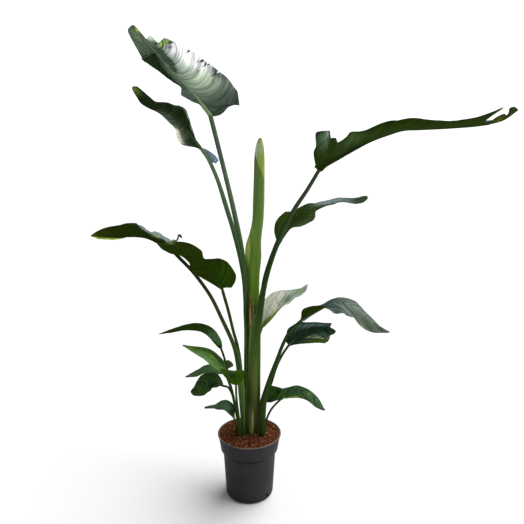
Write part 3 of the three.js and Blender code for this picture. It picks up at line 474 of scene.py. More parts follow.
def ripples(u, t, width, length, seed):
    """How far a blade waves off its smooth shape: three sines along it with seeded phases, which
    grow as the square of t, and fine pleats between midrib and margin."""
    draw = np.random.default_rng(seed)
    wave = np.zeros(u.shape)
    for spacing in RIPPLE_SPACINGS:
        turn = 2 * np.pi * u * length / spacing + draw.uniform(0, 2 * np.pi) + RIPPLE_LEAN * t
        wave += np.sin(turn) * (spacing / RIPPLE_SPACINGS[0])
    pleat = np.sin(2 * np.pi * u * length / PLEAT_SPACING) * PLEAT_HEIGHT * np.sin(np.pi * t)
    return RIPPLE_HEIGHT * wave * t**2 * np.minimum(width / CALM_WIDTH, 1) + pleat


def half_blade(half, sign, leaf, u, t, seed):
    """Half a blade on a grid of stations u and shares t: each row goes out from the midrib by the
    running integral of the cosine and sine of its lift angle, times the margin's width, and its
    margin runs ahead by sweep times t to a power. The map's first coordinate is even along a rib:
    a rib leans ahead by slant, and bows back between its ends."""
    point, forward, across, upper, length = blade_frame(leaf, u[:, 0])
    width = margin_width(half, u[:, 0])[:, None]
    angle = lift_angle(half, u, t)
    out = running_integral(np.cos(angle), t) * width
    rise = running_integral(np.sin(angle), t) * width
    ahead = along(half.get("sweep", 0), u[:, :1]) * width * t**SWEEP_POWER
    place = (
        point[:, None] + sign * out[..., None] * across[:, None]
        + rise[..., None] * upper[:, None] + ahead[..., None] * forward[:, None]
    )
    normal = np.cos(angle)[..., None] * upper[:, None] - sign * np.sin(angle)[..., None] * across[:, None]
    place = place + normal * ripples(u, t, width, length, seed)[..., None]
    slant = leaf.get("slant", RIB_SLANT)
    bow = leaf.get("bow", RIB_BOW) * np.sin(np.pi * t**BOW_POWER)
    across_ribs = (u * length + bow - slant * t * width) / math.hypot(1, slant)
    return place, normal, np.stack([across_ribs, t * width], axis=-1)


def blade_stations(leaf):
    """Even stations, and more of them at each tear and where a width changes within a short step."""
    length = even_curve(leaf["midrib"], np.zeros(1))[2]
    stations = [*np.linspace(0, 1, int(length / ROW_STEP) + 2)]
    for half in (leaf["left"], leaf["right"]):
        stations += [s + shift for s, _ in half.get("tears", []) for shift in (-TEAR_WIDTH, 0, TEAR_WIDTH)]
        knots = np.array(half["width"], float)[:, 0]
        close = np.diff(knots) < STEP_WIDTH
        stations += [*knots[1:][close], *knots[:-1][close]]
    return np.unique(np.round(stations, 5))


def blade_grids(leaf, seed):
    """Both halves joined at the midrib: places, upper normals, map coordinates, u and signed t."""
    rows = blade_stations(leaf)
    u, t = np.meshgrid(rows, np.linspace(0, 1, CELLS + 1), indexing="ij")
    left = half_blade(leaf["left"], -1, leaf, u, t, seed)
    right = half_blade(leaf["right"], 1, leaf, u, t, seed + 1)
    middle = [(a[:, :1] + b[:, :1]) / 2 for a, b in zip(left, right)]
    place, normal, maps = (
        np.concatenate([a[:, :0:-1], m, b[:, 1:]], axis=1) for a, m, b in zip(left, middle, right)
    )
    maps[:, :CELLS, 1] *= -1
    signed = np.concatenate([-t[:, :0:-1], t], axis=1)
    station = np.repeat(rows[:, None], 2 * CELLS + 1, axis=1)
    return place, unit(normal), maps, station, signed


def add_blade(surface, leaf, seed):
    """The blade as an upper and a lower face a little apart, closed round the rim. It thins as the
    cube of the share of the way out."""
    place, normal, maps, u, signed = blade_grids(leaf, seed)
    rows, columns = u.shape
    thin = BLADE_HALF_THICKNESS * (1 - MARGIN_THINNING * np.abs(signed) ** 3)[..., None]
    upper = painted(colour(*leaf["upper"]), leaf.get("upper_strokes", []), u, signed)
    under = painted(colour(*leaf["under"]), leaf.get("under_strokes", []), u, signed)
    quads = grid_quads(rows, columns)
    first = surface.count
    surface.add(place + normal * thin, quads, maps, upper, UPPER_FACE)
    surface.add(place - normal * thin, quads[:, ::-1], maps, under, UNDER_FACE)
    index = np.arange(rows * columns).reshape(rows, columns) + first
    border = np.concatenate([index[0, :-1], index[:-1, -1], index[-1, :0:-1], index[:0:-1, 0]])
    after = np.roll(border, -1)
    lower = rows * columns
    surface.add_quads(np.stack([border, border + lower, after + lower, after], axis=-1), UNDER_FACE)


def add_tube(surface, rows, forward, facing, tints, slot):
    """Rings joined into a tube and drawn to a point at each end. The map runs along the tube and,
    by a share of its half width, round it."""
    rings = closed_rings(ring_sections(rows, forward, facing, STALK_SIDES), rows)
    travel = ends_doubled(travelled(rows[:, :3]))[:, None]
    girth = ends_doubled(rows[:, 3:4]) * STALK_MAP_GIRTH
    around = np.arange(STALK_SIDES) / STALK_SIDES
    maps = np.stack(np.broadcast_arrays(travel, around * girth), axis=-1)
    surface.add(rings, grid_quads(len(rings), STALK_SIDES, closed=True), maps, ends_doubled(tints), slot)


def stalk_tints(leaf, height):
    """Stalk colour by height: [height, red, green, blue] stops, blended between."""
    stops = np.array([[level, *colour(*rgb)] for level, *rgb in leaf["stalk_colours"]])
    return np.stack([np.interp(height, stops[:, 0], stops[:, k]) for k in (1, 2, 3)], axis=-1)


def stalk_row(x, y, z, half, thickness=None, cup=FLAT):
    """A whole row of a route. Without a thickness it is round, and without a cup it is straight."""
    return [x, y, z, half, half if thickness is None else thickness, 1 / cup]


def add_stalk(surface, leaf):
    """The stalk along its route, then the midrib that runs on under the blade and tapers out as a
    power of what is left of it. A row of [x, y, z] is round and as thick as the stalk's end."""
    end = leaf["stalk_end"]
    route = [row if len(row) > 3 else [*row, end] for row in (*leaf["stalk"], leaf["midrib"][0])]
    stalk, upward = rooted_spline([stalk_row(*row) for row in route], STEPS_PER_SPAN)
    stalk[:, 5] = np.maximum(stalk[:, 5], 1 / FLAT)
    u = np.linspace(0, MIDRIB_END, MIDRIB_ROWS)[1:]
    point, forward, _, upper, _ = blade_frame(leaf, u)
    radius = MIDRIB_TIP + (end - MIDRIB_TIP) * (1 - u / MIDRIB_END) ** MIDRIB_TAPER
    centre = point - upper * radius[:, None] * MIDRIB_DEPTH
    rows = np.concatenate([stalk, np.column_stack([centre, radius, radius, np.full(len(u), 1 / FLAT)])])
    tints = stalk_tints(leaf, rows[:, 2])
    tints[len(stalk):] = colour(*leaf["rib"])
    level, place = np.broadcast_arrays(rows[:, 2:3], np.cos(full_turn(STALK_SIDES)))
    tints = painted(tints[:, None], leaf.get("stalk_strokes", []), level, place)
    add_tube(surface, rows, np.concatenate([upward, forward]), leaf["facing"], tints, STALK)


def place(tree, kind, inputs=None, **settings):
    """Adds a node: settings are its own options, and inputs are values or sockets to link in."""
    node = tree.nodes.new(kind)
    for key, value in settings.items():
        setattr(node, key, value)
    for key, value in (inputs or {}).items():
        if isinstance(value, bpy.types.NodeSocket):
            tree.links.new(value, node.inputs[key])
        else:
            node.inputs[key].default_value = value
    return node


def maths(tree, operation, *values):
    """The result of a Math node, from its values or sockets in order."""
    return place(tree, "ShaderNodeMath", dict(enumerate(values)), operation=operation).outputs[0]


def noise(tree, vector, scale, detail, roughness):
    """A noise mask round a half."""
    inputs = {"Vector": vector, "Scale": scale, "Detail": detail, "Roughness": roughness}
    return place(tree, "ShaderNodeTexNoise", inputs).outputs["Fac"]


def new_group(name, inputs, outputs):
    """An empty shader node group with named inputs, as [label, kind, value], and named outputs."""
    tree = bpy.data.node_groups.new(name, "ShaderNodeTree")
    for label, kind, default in inputs:
        socket = tree.interface.new_socket(label, in_out="INPUT", socket_type="NodeSocket" + kind)
        if default is not None:
            socket.default_value = default
    for label, kind in outputs:
        tree.interface.new_socket(label, in_out="OUTPUT", socket_type="NodeSocket" + kind)
    return tree, tree.nodes.new("NodeGroupInput").outputs, tree.nodes.new("NodeGroupOutput").inputs


def leaf_ribs_group():
    """Parallel ribs across the map's first axis. Fine is a noise stretched along the ribs, as a streak
    mask round a half. Height feeds a Bump: the fine noise, and a sine at the ribs' spacing that a
    broad noise makes waver."""
    inputs = [("Map", "Vector", None), ("Spacing", "Float", 9.0), ("Stretch", "Float", 0.06)]
    tree, given, out = new_group("Leaf ribs", inputs, [("Fine", "Float"), ("Height", "Float")])
    parts = place(tree, "ShaderNodeSeparateXYZ", {"Vector": given["Map"]}).outputs
    share = maths(tree, "DIVIDE", parts["X"], given["Spacing"])
    slow = maths(tree, "DIVIDE", maths(tree, "MULTIPLY", parts["Y"], given["Stretch"]), given["Spacing"])
    along_ribs = place(tree, "ShaderNodeCombineXYZ", {"X": share, "Y": slow}).outputs[0]
    fine = noise(tree, along_ribs, scale=1.1, detail=3.0, roughness=0.6)
    broad = noise(tree, along_ribs, scale=0.5, detail=2.0, roughness=0.5)
    phase = maths(tree, "ADD", share, maths(tree, "MULTIPLY", broad, BAND_WAVER))
    band = maths(tree, "SINE", maths(tree, "MULTIPLY", phase, 2 * math.pi))
    height = maths(tree, "MULTIPLY", fine, FINE_RELIEF)
    height = maths(tree, "MULTIPLY_ADD", band, BAND_RELIEF, height)
    tree.links.new(fine, out["Fine"])
    tree.links.new(height, out["Height"])
    return tree


def shaded_tint_group():
    """A tint made lighter and darker by a mask round a half: tint times (1 + (mask - 0.5) amount)."""
    inputs = [("Tint", "Color", None), ("Mask", "Float", 0.5), ("Amount", "Float", 1.0)]
    tree, given, out = new_group("Shaded tint", inputs, [("Colour", "Color")])
    centred = maths(tree, "SUBTRACT", given["Mask"], 0.5)
    factor = maths(tree, "MULTIPLY_ADD", centred, given["Amount"], 1.0)
    scaled = place(tree, "ShaderNodeVectorMath", {0: given["Tint"], "Scale": factor}, operation="SCALE")
    tree.links.new(scaled.outputs[0], out["Colour"])
    return tree


RIBS = leaf_ribs_group()
SHADED = shaded_tint_group()


def shaded(tree, tint, mask, amount):
    """The shaded tint group, placed in a material."""
    inputs = {"Tint": tint, "Mask": mask, "Amount": amount}
    return place(tree, "ShaderNodeGroup", inputs, node_tree=SHADED).outputs[0]


def painted_tint(tree):
    """The tints of the piece's points."""
    return place(tree, "ShaderNodeAttribute", attribute_name="Tint").outputs["Color"]


def surface_map(tree):
    """The piece's own map, in millimetres over its surface."""
    return place(tree, "ShaderNodeUVMap", uv_map="Surface").outputs[0]


def object_map(tree):
    """Places on the object, in metres."""
    return place(tree, "ShaderNodeTexCoord").outputs["Object"]


def skin(tree, base, height, relief, depth, roughness, gloss):
    """A base colour under a soft gloss, in relief by a height mask."""
    bump = place(tree, "ShaderNodeBump", {"Height": height, "Strength": relief, "Distance": depth})
    inputs = {
        "Base Color": base, "Normal": bump.outputs[0], "Roughness": roughness, "Specular IOR Level": gloss,
    }
    return place(tree, "ShaderNodeBsdfPrincipled", inputs).outputs[0]


def leaf_face(tree, spacing, streak, blotch, roughness, gloss, relief):
    """A leaf face: the painted tint, streaked along its ribs and blotched, under a soft gloss, with a
    small share of the light let through, warmer than the tint."""
    ribs = place(tree, "ShaderNodeGroup", {"Map": surface_map(tree), "Spacing": spacing}, node_tree=RIBS)
    spots = noise(tree, object_map(tree), scale=22.0, detail=4.0, roughness=0.55)
    streaked = shaded(tree, painted_tint(tree), ribs.outputs["Fine"], streak)
    tint = shaded(tree, streaked, spots, blotch)
    face = skin(tree, tint, ribs.outputs["Height"], relief, SKIN_DEPTH, roughness, gloss)
    mix = {"Factor": LIT_THROUGH_SHARE, "A": tint, "B": LIT_THROUGH_TINT}
    warm = place(tree, "ShaderNodeMix", mix, data_type="RGBA")
    glow = place(tree, "ShaderNodeBsdfTranslucent", {"Color": warm.outputs["Result"]})
    both = {0: LIGHT_THROUGH, 1: face, 2: glow.outputs[0]}
    return place(tree, "ShaderNodeMixShader", both).outputs[0]


def streaked_skin(tree, streak, roughness, gloss, relief, stretch=0.05):
    """A stalk's skin: the painted tint with long streaks that run up the stalk."""
    inputs = {"Vector": surface_map(tree), "Scale": (stretch, 1, 1)}
    stretched = place(tree, "ShaderNodeMapping", inputs).outputs[0]
    lines = noise(tree, stretched, scale=0.55, detail=4.0, roughness=0.65)
    tint = shaded(tree, painted_tint(tree), lines, streak)
    return skin(tree, tint, lines, relief, SKIN_DEPTH, roughness, gloss)


def pot_plastic(tree):
    """Charcoal moulded plastic: the painted tint with broad uneven dust and a fine grain."""
    grain = noise(tree, object_map(tree), scale=900.0, detail=2.0, roughness=0.6)
    dust = noise(tree, object_map(tree), scale=14.0, detail=6.0, roughness=0.7)
    dusty = shaded(tree, painted_tint(tree), dust, amount=0.9)
    tint = shaded(tree, dusty, grain, amount=0.5)
    return skin(tree, tint, grain, relief=0.25, depth=0.0006, roughness=0.62, gloss=0.15)


def soil_mix(tree):
    """Damp coconut-fibre mix: reddish brown with dark hollows and paler crumbs."""
    crumbs = noise(tree, object_map(tree), scale=260.0, detail=5.0, roughness=0.75)
    ramp = place(tree, "ShaderNodeValToRGB", {"Fac": crumbs})
    for stop, position, tint in zip(ramp.color_ramp.elements, CRUMB_STOPS, CRUMB_TINTS):
        stop.position = position
        stop.color = (*colour(*tint), 1)
    tint = ramp.outputs["Color"]
    return skin(tree, tint, crumbs, relief=0.9, depth=0.003, roughness=0.9, gloss=0.15)


def floor_paint(tree):
    """Plain matt white."""
    white = (FLOOR_WHITE, FLOOR_WHITE, FLOOR_WHITE, 1)
    return place(tree, "ShaderNodeBsdfDiffuse", {"Color": white}).outputs[0]


def make_material(name, finish, **values):
    """A material whose nodes the finish's function makes, from the values given."""
    material = bpy.data.materials.new(name)
    material.use_nodes = True
    tree = material.node_tree
    tree.nodes.clear()
    place(tree, "ShaderNodeOutputMaterial", {"Surface": finish(tree, **values)})
    return material


UPPER = {"blotch": 0.5, "roughness": 0.5, "gloss": 0.1}
UNDER = {"blotch": 0.4, "roughness": 0.6}
FINISHES = {
    "leaf_upper": (leaf_face, {"spacing": 9.0, "streak": 2.0, "relief": 0.5, **UPPER}),
    "leaf_upper_bold": (leaf_face, {"spacing": 9.0, "streak": 4.5, "relief": 0.8, **UPPER}),
    "leaf_under": (leaf_face, {"spacing": 9.0, "streak": 1.8, "relief": 0.6, "gloss": 0.03, **UNDER}),
    "leaf_under_bold": (leaf_face, {"spacing": 11.0, "streak": 3.2, "relief": 0.8, "gloss": 0.04, **UNDER}),
    "stalk_skin": (streaked_skin, {"streak": 1.5, "roughness": 0.55, "gloss": 0.04, "relief": 0.4}),
    "dry_leaf": (
        streaked_skin, {"streak": 2.2, "roughness": 0.85, "gloss": 0.15, "relief": 1.0, "stretch": 0.12}
    ),
    "dry_fibre": (streaked_skin, {"streak": 0.6, "roughness": 0.85, "gloss": 0.1, "relief": 0.3}),
    "pot_plastic": (pot_plastic, {}),
    "soil_mix": (soil_mix, {}),
    "studio_floor": (floor_paint, {}),
}
MATERIALS = {name: make_material(name, finish, **values) for name, (finish, values) in FINISHES.items()}


# The leaves. A station runs along the midrib, from 0 at the stalk to 1 at the tip, and a curve is
# [station, value] pairs, or one value for all. width is how far a half reaches, and sweep is how far
# its margin runs ahead, as a share of width. In degrees, roll turns the blade about its midrib, fold
# turns a half up from flat, and curl adds to that towards the margin. flip turns the outer part of a
# half over, from start, a share of the way out. A tear is [station, depth], and a lobe is a second
# blade. facing is the way that a stalk faces, in degrees. A row of a stalk is [x, y, z, half width,
# half thickness, cup]: without a cup it is straight, without a thickness it is round, and without a
# width it is as thick as stalk_end. Colours are from 0 to 255. Strokes are soft patches laid over a
# face: [station, place across from -1 left to 1 right, half length, half breadth, strength, colour].
# On a stalk they have a height for the station. bold picks stronger ribs, slant is how far a rib leans
# ahead on its way out, bow is its bend, and stalk_colours are [height, colour].
# Some face tints and strokes are painted light: sheen, highlights and shade, as noted at each leaf.
LEAVES = {}
LEAVES["leaf_top_left"] = {
    "facing": 170, "stalk_end": 8,
    "midrib": [
        [-124, -30, 1402], [-164, -40, 1456], [-195, -48, 1490], [-243, -60, 1536], [-278, -72, 1576],
        [-319, -90, 1624], [-358, -105, 1662],
    ],
    "roll": [[0, 85], [1, 60]],
    "left": {
        "width": [
            [0, 9], [0.015, 21], [0.035, 45], [0.052, 74], [0.068, 105], [0.078, 111], [0.09, 125],
            [0.11, 138], [0.2, 139], [0.26, 133], [0.33, 126], [0.4, 116], [0.54, 103], [0.61, 93],
            [0.68, 78], [0.735, 65], [0.76, 56], [0.775, 32], [0.79, 30], [0.815, 26], [0.828, 25],
            [0.84, 17], [0.85, 6], [0.96, 9], [0.985, 9], [1, 4],
        ],
        "fold": [[0, 5], [1, 10]], "curl": [[0, 20], [0.3, 45], [0.7, 45], [1, 0]],
        "sweep": [
            [0, -0.9], [0.015, -0.88], [0.035, -0.65], [0.052, -0.42], [0.068, -0.42], [0.078, -0.52],
            [0.09, -0.33], [0.11, -0.19], [0.26, -0.12], [0.4, -0.11], [0.54, 0], [0.76, -0.03],
            [0.775, -0.61], [0.79, -0.61], [0.815, -0.3], [0.828, 0.04], [0.84, 0.12], [0.85, -0.5],
            [0.875, -0.18], [0.91, 0], [1, 0],
        ],
        "tears": [[0.27, 0.1], [0.37, 0.1], [0.43, 0.14], [0.52, 0.12]],
    },
    "right": {
        "width": [
            [0, 4], [0.078, 6.7], [0.134, 7.3], [0.198, 20.2], [0.269, 29.2], [0.305, 33], [0.34, 22],
            [0.37, 18], [0.42, 26], [0.5, 38], [0.6, 51], [0.7, 81], [0.76, 99], [0.772, 48], [0.8, 40.5],
            [0.85, 35], [0.9, 29.5], [0.94, 23.5], [0.97, 18], [0.99, 12], [1, 4],
        ],
        "flip": {
            "turn": [[0.33, 0], [0.37, -165], [0.76, -165], [0.772, 0]],
            "start": [[0.37, 0.8], [0.42, 0.68], [0.5, 0.6], [0.6, 0.56], [0.7, 0.45], [0.76, 0.42]],
        },
        "sweep": [
            [0, -0.3], [0.3, 0.1], [0.42, 0.12], [0.5, 0], [0.6, -0.18], [0.76, -0.16], [0.772, -0.18],
            [0.8, 0.02], [0.85, 0.2], [0.9, 0.3], [0.97, 0.5], [1, 0.3],
        ],
    },
    "stalk": [
        *sheath(170, INNER_RING, 66, 2.3), [*on_trunk(172, INNER_RING, 640), 24, 2.6, 26],
        [*on_trunk(178, INNER_RING, 720), 17, 3, 32], [-8, -1, 795, 10, 5, 60], [-12, -5, 860, 10, 7.5],
        [-24, -10, 948, 10, 9], [-35, -12, 1011, 10, 9], [-58, -18, 1123, 9, 8.5],
        [-83, -24, 1232, 8.5, 8], [-108, -29, 1337],
    ],
    "upper": (18, 40, 6), "under": (92, 111, 95), "rib": (124, 144, 104), "bold": True, "bow": 38,
    "slant": -0.1,
    # The two white under strokes are a painted sheen, and the three darker strokes by the midrib, from 0.52
    # to 0.7, are a painted groove shadow.
    "under_strokes": [
        [0.04, -0.3, 0.1, 1.2, 0.8, 62, 78, 66], [0.08, -0.85, 0.1, 0.5, 1.2, 50, 62, 54],
        [0.36, -0.5, 0.15, 0.42, 1.3, 184, 204, 174], [0.58, -0.45, 0.14, 0.25, 1.2, 170, 188, 172],
        [0.46, -0.92, 0.15, 0.34, 2.4, 255, 255, 255], [0.58, -0.8, 0.1, 0.25, 2.2, 255, 255, 255],
        [0.61, -0.16, 0.07, 0.07, 5, 70, 86, 70], [0.7, -0.19, 0.04, 0.08, 5, 70, 86, 70],
        [0.52, -0.1, 0.03, 0.045, 5, 66, 84, 66], [0.54, -0.98, 0.012, 0.16, 1.6, 60, 66, 66],
        [0.413, -0.97, 0.012, 0.14, 1.8, 44, 50, 50], [0.37, -0.97, 0.014, 0.1, 1.8, 44, 50, 48],
        [0.29, -0.97, 0.03, 0.08, 1.6, 40, 48, 44], [0.26, -0.92, 0.09, 0.22, 1.2, 82, 98, 88],
        [0.78, 0.5, 0.12, 0.5, 0.5, 90, 108, 84], [0.9, 0.3, 0.06, 0.6, 0.7, 124, 146, 112],
        [0.94, -0.6, 0.02, 0.5, 1.2, 190, 214, 96], [0.83, -0.68, 0.012, 0.3, 1.6, 214, 236, 236],
        [0.82, -0.95, 0.01, 0.2, 1.2, 196, 200, 96], [0.778, -0.7, 0.02, 0.3, 1.4, 50, 60, 16],
        [0.732, -0.68, 0.014, 0.3, 1.4, 150, 190, 60], [0.7, -0.85, 0.018, 0.15, 1.4, 50, 84, 22],
        [0.672, -0.62, 0.02, 0.12, 1.2, 128, 120, 134],
    ],
    "upper_strokes": [[0.42, 0.9, 0.06, 0.3, 0.6, 60, 84, 50]],
    "stalk_colours": [
        [170, 48, 52, 30], [330, 48, 72, 22], [500, 54, 88, 18], [700, 50, 80, 26], [900, 64, 92, 48],
        [1150, 94, 110, 84], [1300, 78, 90, 78], [1400, 80, 100, 72],
    ],
    "stalk_strokes": [
        [420, 0.9, 120, 0.3, 1, 58, 44, 34], [560, 0.6, 90, 0.2, 0.8, 74, 106, 30],
        [280, 0.5, 70, 0.4, 0.8, 76, 84, 80], [330, 0.95, 60, 0.2, 0.9, 40, 32, 30],
    ],
}
LEAVES["leaf_upper_left"] = {
    "facing": 200, "stalk_end": 6,
    "midrib": [
        [-153, -60, 1293], [-192, -66, 1344], [-232, -72, 1386], [-272, -78, 1423], [-321, -85, 1448],
        [-365, -90, 1484],
    ],
    "roll": [[0, -75], [1, -70]],
    "left": {
        "width": [
            [0, 3], [0.057, 12.4], [0.095, 24], [0.134, 39], [0.164, 49.6], [0.196, 53], [0.232, 51],
            [0.27, 44], [0.308, 32.6], [0.359, 26.8], [0.49, 25], [0.63, 23.6], [0.79, 22.6], [0.87, 16],
            [0.967, 7.3], [1, 2],
        ],
        "fold": -20, "curl": [[0, 0], [0.1, -40], [0.3, -60], [0.6, -20], [1, 0]],
        "sweep": [[0, -0.3], [0.25, 0.2], [1, 0.6]],
    },
    "right": {
        "width": [
            [0, 5], [0.11, 5], [0.18, 11.8], [0.255, 21.5], [0.315, 31.7], [0.363, 39], [0.42, 47],
            [0.49, 41.3], [0.53, 30.6], [0.59, 23.4], [0.64, 14.4], [0.71, 6], [0.78, 11], [0.89, 12.7],
            [0.94, 12], [1, 2],
        ],
        "fold": 10, "sweep": [[0, 0], [0.25, 0], [0.6, 0.1], [1, 0.6]],
    },
    "lobe": {
        "midrib": [[-148, -58, 1293], [-125, -58, 1272], [-101, -58, 1251]], "roll": -75,
        "left": {"width": [[0, 4], [0.3, 12], [0.7, 14], [1, 8]]},
        "right": {"width": [[0, 4], [0.3, 10], [0.7, 12], [1, 8]]},
        # The lobe's near-white blue upper tint is a painted sheen.
        "upper": (226, 246, 255), "under": (130, 154, 170), "slant": 0.3,
        "upper_strokes": [
            [0.9, 0.6, 0.16, 0.4, 0.9, 60, 80, 80], [0.5, 0.4, 0.03, 0.6, 0.7, 120, 142, 156],
            [0.7, 0.4, 0.03, 0.6, 0.7, 110, 132, 146], [0.3, 0.4, 0.03, 0.6, 0.5, 130, 150, 162],
        ],
    },
    "stalk": [
        *sheath(200, OUTER_RING, 33, 2.3), [*on_trunk(204, OUTER_RING, 640), 14, 2.6, 32],
        [-15, -15, 715, 11, 3.2, 50], [-14, -22, 780, 9, 5.5], [-17, -27, 845, 8, 7], [-28, -33, 922, 8],
        [-50, -41, 1017, 8], [-73, -47, 1097, 8], [-100, -53, 1187, 7], [-129, -58, 1257, 6.5],
    ],
    "upper": (22, 40, 4), "under": (60, 74, 52), "rib": (66, 84, 50), "bold": True, "slant": 0.2,
    "bow": 10,
    # The first three upper strokes, grey on the left half, are a painted sheen.
    "upper_strokes": [
        [0.46, -0.75, 0.11, 0.5, 2.4, 70, 84, 66], [0.26, -0.75, 0.1, 0.5, 2.4, 76, 90, 70],
        [0.47, -0.97, 0.1, 0.2, 1, 104, 116, 98], [0.25, -0.92, 0.07, 0.24, 2.6, 250, 252, 224],
        [0.34, 0.97, 0.12, 0.09, 1.6, 136, 156, 126], [0.22, 0.95, 0.06, 0.2, 1.2, 124, 144, 118],
        [0.12, -0.4, 0.06, 0.5, 0.9, 34, 46, 24], [0.96, -0.2, 0.06, 1, 1, 104, 128, 48],
    ],
    "stalk_colours": [
        [170, 66, 86, 34], [400, 74, 110, 36], [560, 74, 116, 38], [720, 48, 76, 36], [1000, 58, 84, 52],
        [1300, 96, 118, 86],
    ],
}
LEAVES["leaf_top_right"] = {
    "facing": 301, "stalk_end": 6.5,
    "midrib": [
        [238, -50, 1221], [259, -52, 1241], [292, -55, 1258], [341, -58, 1284], [406, -60, 1317],
        [470, -65, 1340], [514, -70, 1352], [566, -72, 1354], [660, -80, 1358], [753, -90, 1365],
        [820, -96, 1379], [866, -100, 1411],
    ],
    "roll": 0,
    "left": {
        "width": [[0, 50], [0.1, 74], [0.3, 73], [0.5, 61], [0.7, 46], [0.9, 22], [0.97, 14], [1, 6]],
        "fold": 25, "curl": [[0, 0], [0.5, 20], [1, 0]], "sweep": [[0, 0], [0.3, 0.2], [1, 0.6]],
    },
    "right": {
        "width": [
            [0, 30], [0.02, 62], [0.035, 75], [0.05, 125], [0.085, 120], [0.095, 97], [0.115, 83],
            [0.135, 62], [0.174, 66], [0.194, 76], [0.236, 59.5], [0.266, 53], [0.34, 55], [0.373, 53],
            [0.424, 44], [0.48, 44.6], [0.53, 39], [0.6, 31.7], [0.67, 26.6], [0.71, 29.7], [0.73, 36],
            [0.76, 47], [0.787, 58], [0.8, 50], [0.81, 38], [0.822, 12], [0.85, 8.6], [0.88, 22.4],
            [0.9, 27.8], [0.92, 15.4], [0.935, 26], [0.96, 36], [0.985, 30], [1, 9],
        ],
        "fold": [[0, 60], [0.1, 10], [0.4, 15], [0.8, 30]],
        "curl": [[0, 30], [0.1, 90], [0.4, 85], [0.8, 60], [1, 20]],
        "sweep": [
            [0, 0.32], [0.02, 0.34], [0.05, 0.17], [0.085, 0.23], [0.095, 0.13], [0.115, 0.22],
            [0.135, 0.12], [0.19, 0.15], [0.27, 0.3], [0.7, 0.4], [0.73, 1.4], [0.8, 1.4], [0.826, 0.6],
            [0.88, 0.12], [0.9, 0.46], [0.92, 0.8], [0.95, 0.15], [1, -0.1],
        ],
    },
    "stalk": [
        *sheath(301, OUTER_RING, 62, 2.5), [*on_trunk(302, OUTER_RING, 640), 28, 2.8, 31],
        [36, -19, 695, 21, 4, 34], [44, -20, 750, 14, 6, 45], [53, -21, 805, 11, 8.5], [66, -22, 865, 10],
        [86, -24, 930, 9.5], [119, -29, 1013, 8.5], [158, -36, 1090, 7.5], [204, -44, 1162, 6.8],
    ],
    "upper": (44, 66, 20), "under": (38, 57, 6), "rib": (46, 62, 26), "slant": 0.8,
    # The near-black under stroke at 0.18 beside the midrib is painted shade, where the blade faces down.
    "under_strokes": [
        [0.063, 0.82, 0.012, 0.12, 1.2, 92, 114, 94], [0.05, 0.66, 0.02, 0.16, 0.3, 50, 68, 30],
        [0.19, 0.75, 0.06, 0.25, 0.9, 74, 96, 56], [0.27, 0.72, 0.06, 0.2, 0.6, 56, 76, 30],
        [0.18, 0.12, 0.12, 0.16, 1.2, 14, 22, 4], [0.06, 1, 0.03, 0.06, 1, 20, 30, 8],
        [0.4, 0.6, 0.1, 0.2, 0.4, 52, 72, 20], [0.72, 0.65, 0.12, 0.3, 0.7, 50, 68, 26],
        [0.89, 0.5, 0.02, 0.3, 1, 84, 88, 20], [0.97, 0, 0.04, 1, 0.8, 44, 58, 26],
        [0.05, 0.36, 0.02, 0.06, 0.5, 56, 76, 36], [0.074, 0.92, 0.004, 0.1, 1.3, 150, 170, 158],
        [0.066, 0.8, 0.0025, 0.2, 1.3, 112, 136, 108], [0.057, 0.74, 0.002, 0.22, 1.2, 96, 122, 88],
        [0.049, 0.64, 0.002, 0.2, 1, 84, 110, 74], [0.042, 0.86, 0.003, 0.16, 1, 74, 100, 62],
        [0.034, 0.7, 0.002, 0.2, 0.8, 62, 86, 48],
    ],
    "stalk_colours": [
        [170, 52, 60, 18], [290, 54, 62, 24], [380, 52, 62, 16], [480, 60, 80, 20], [560, 58, 86, 26],
        [720, 36, 62, 14], [900, 38, 60, 20], [1100, 56, 74, 48], [1200, 58, 74, 52],
    ],
    "stalk_strokes": [
        [400, -0.98, 110, 0.2, 1.3, 62, 40, 34], [600, -0.9, 120, 0.16, 1.1, 128, 136, 88],
        [600, -0.55, 130, 0.1, 0.5, 98, 120, 62], [470, -0.3, 110, 0.2, 0.6, 96, 116, 60],
        [290, -0.45, 44, 0.12, 1.2, 160, 162, 104], [250, -0.6, 22, 0.2, 1, 138, 146, 44],
        [330, 0.1, 80, 0.14, 0.7, 74, 62, 40], [300, -0.85, 60, 0.12, 0.8, 120, 120, 92],
        [520, 0.35, 130, 0.16, 0.6, 44, 70, 14], [430, 0.02, 130, 0.06, 0.5, 104, 122, 70],
    ],
}
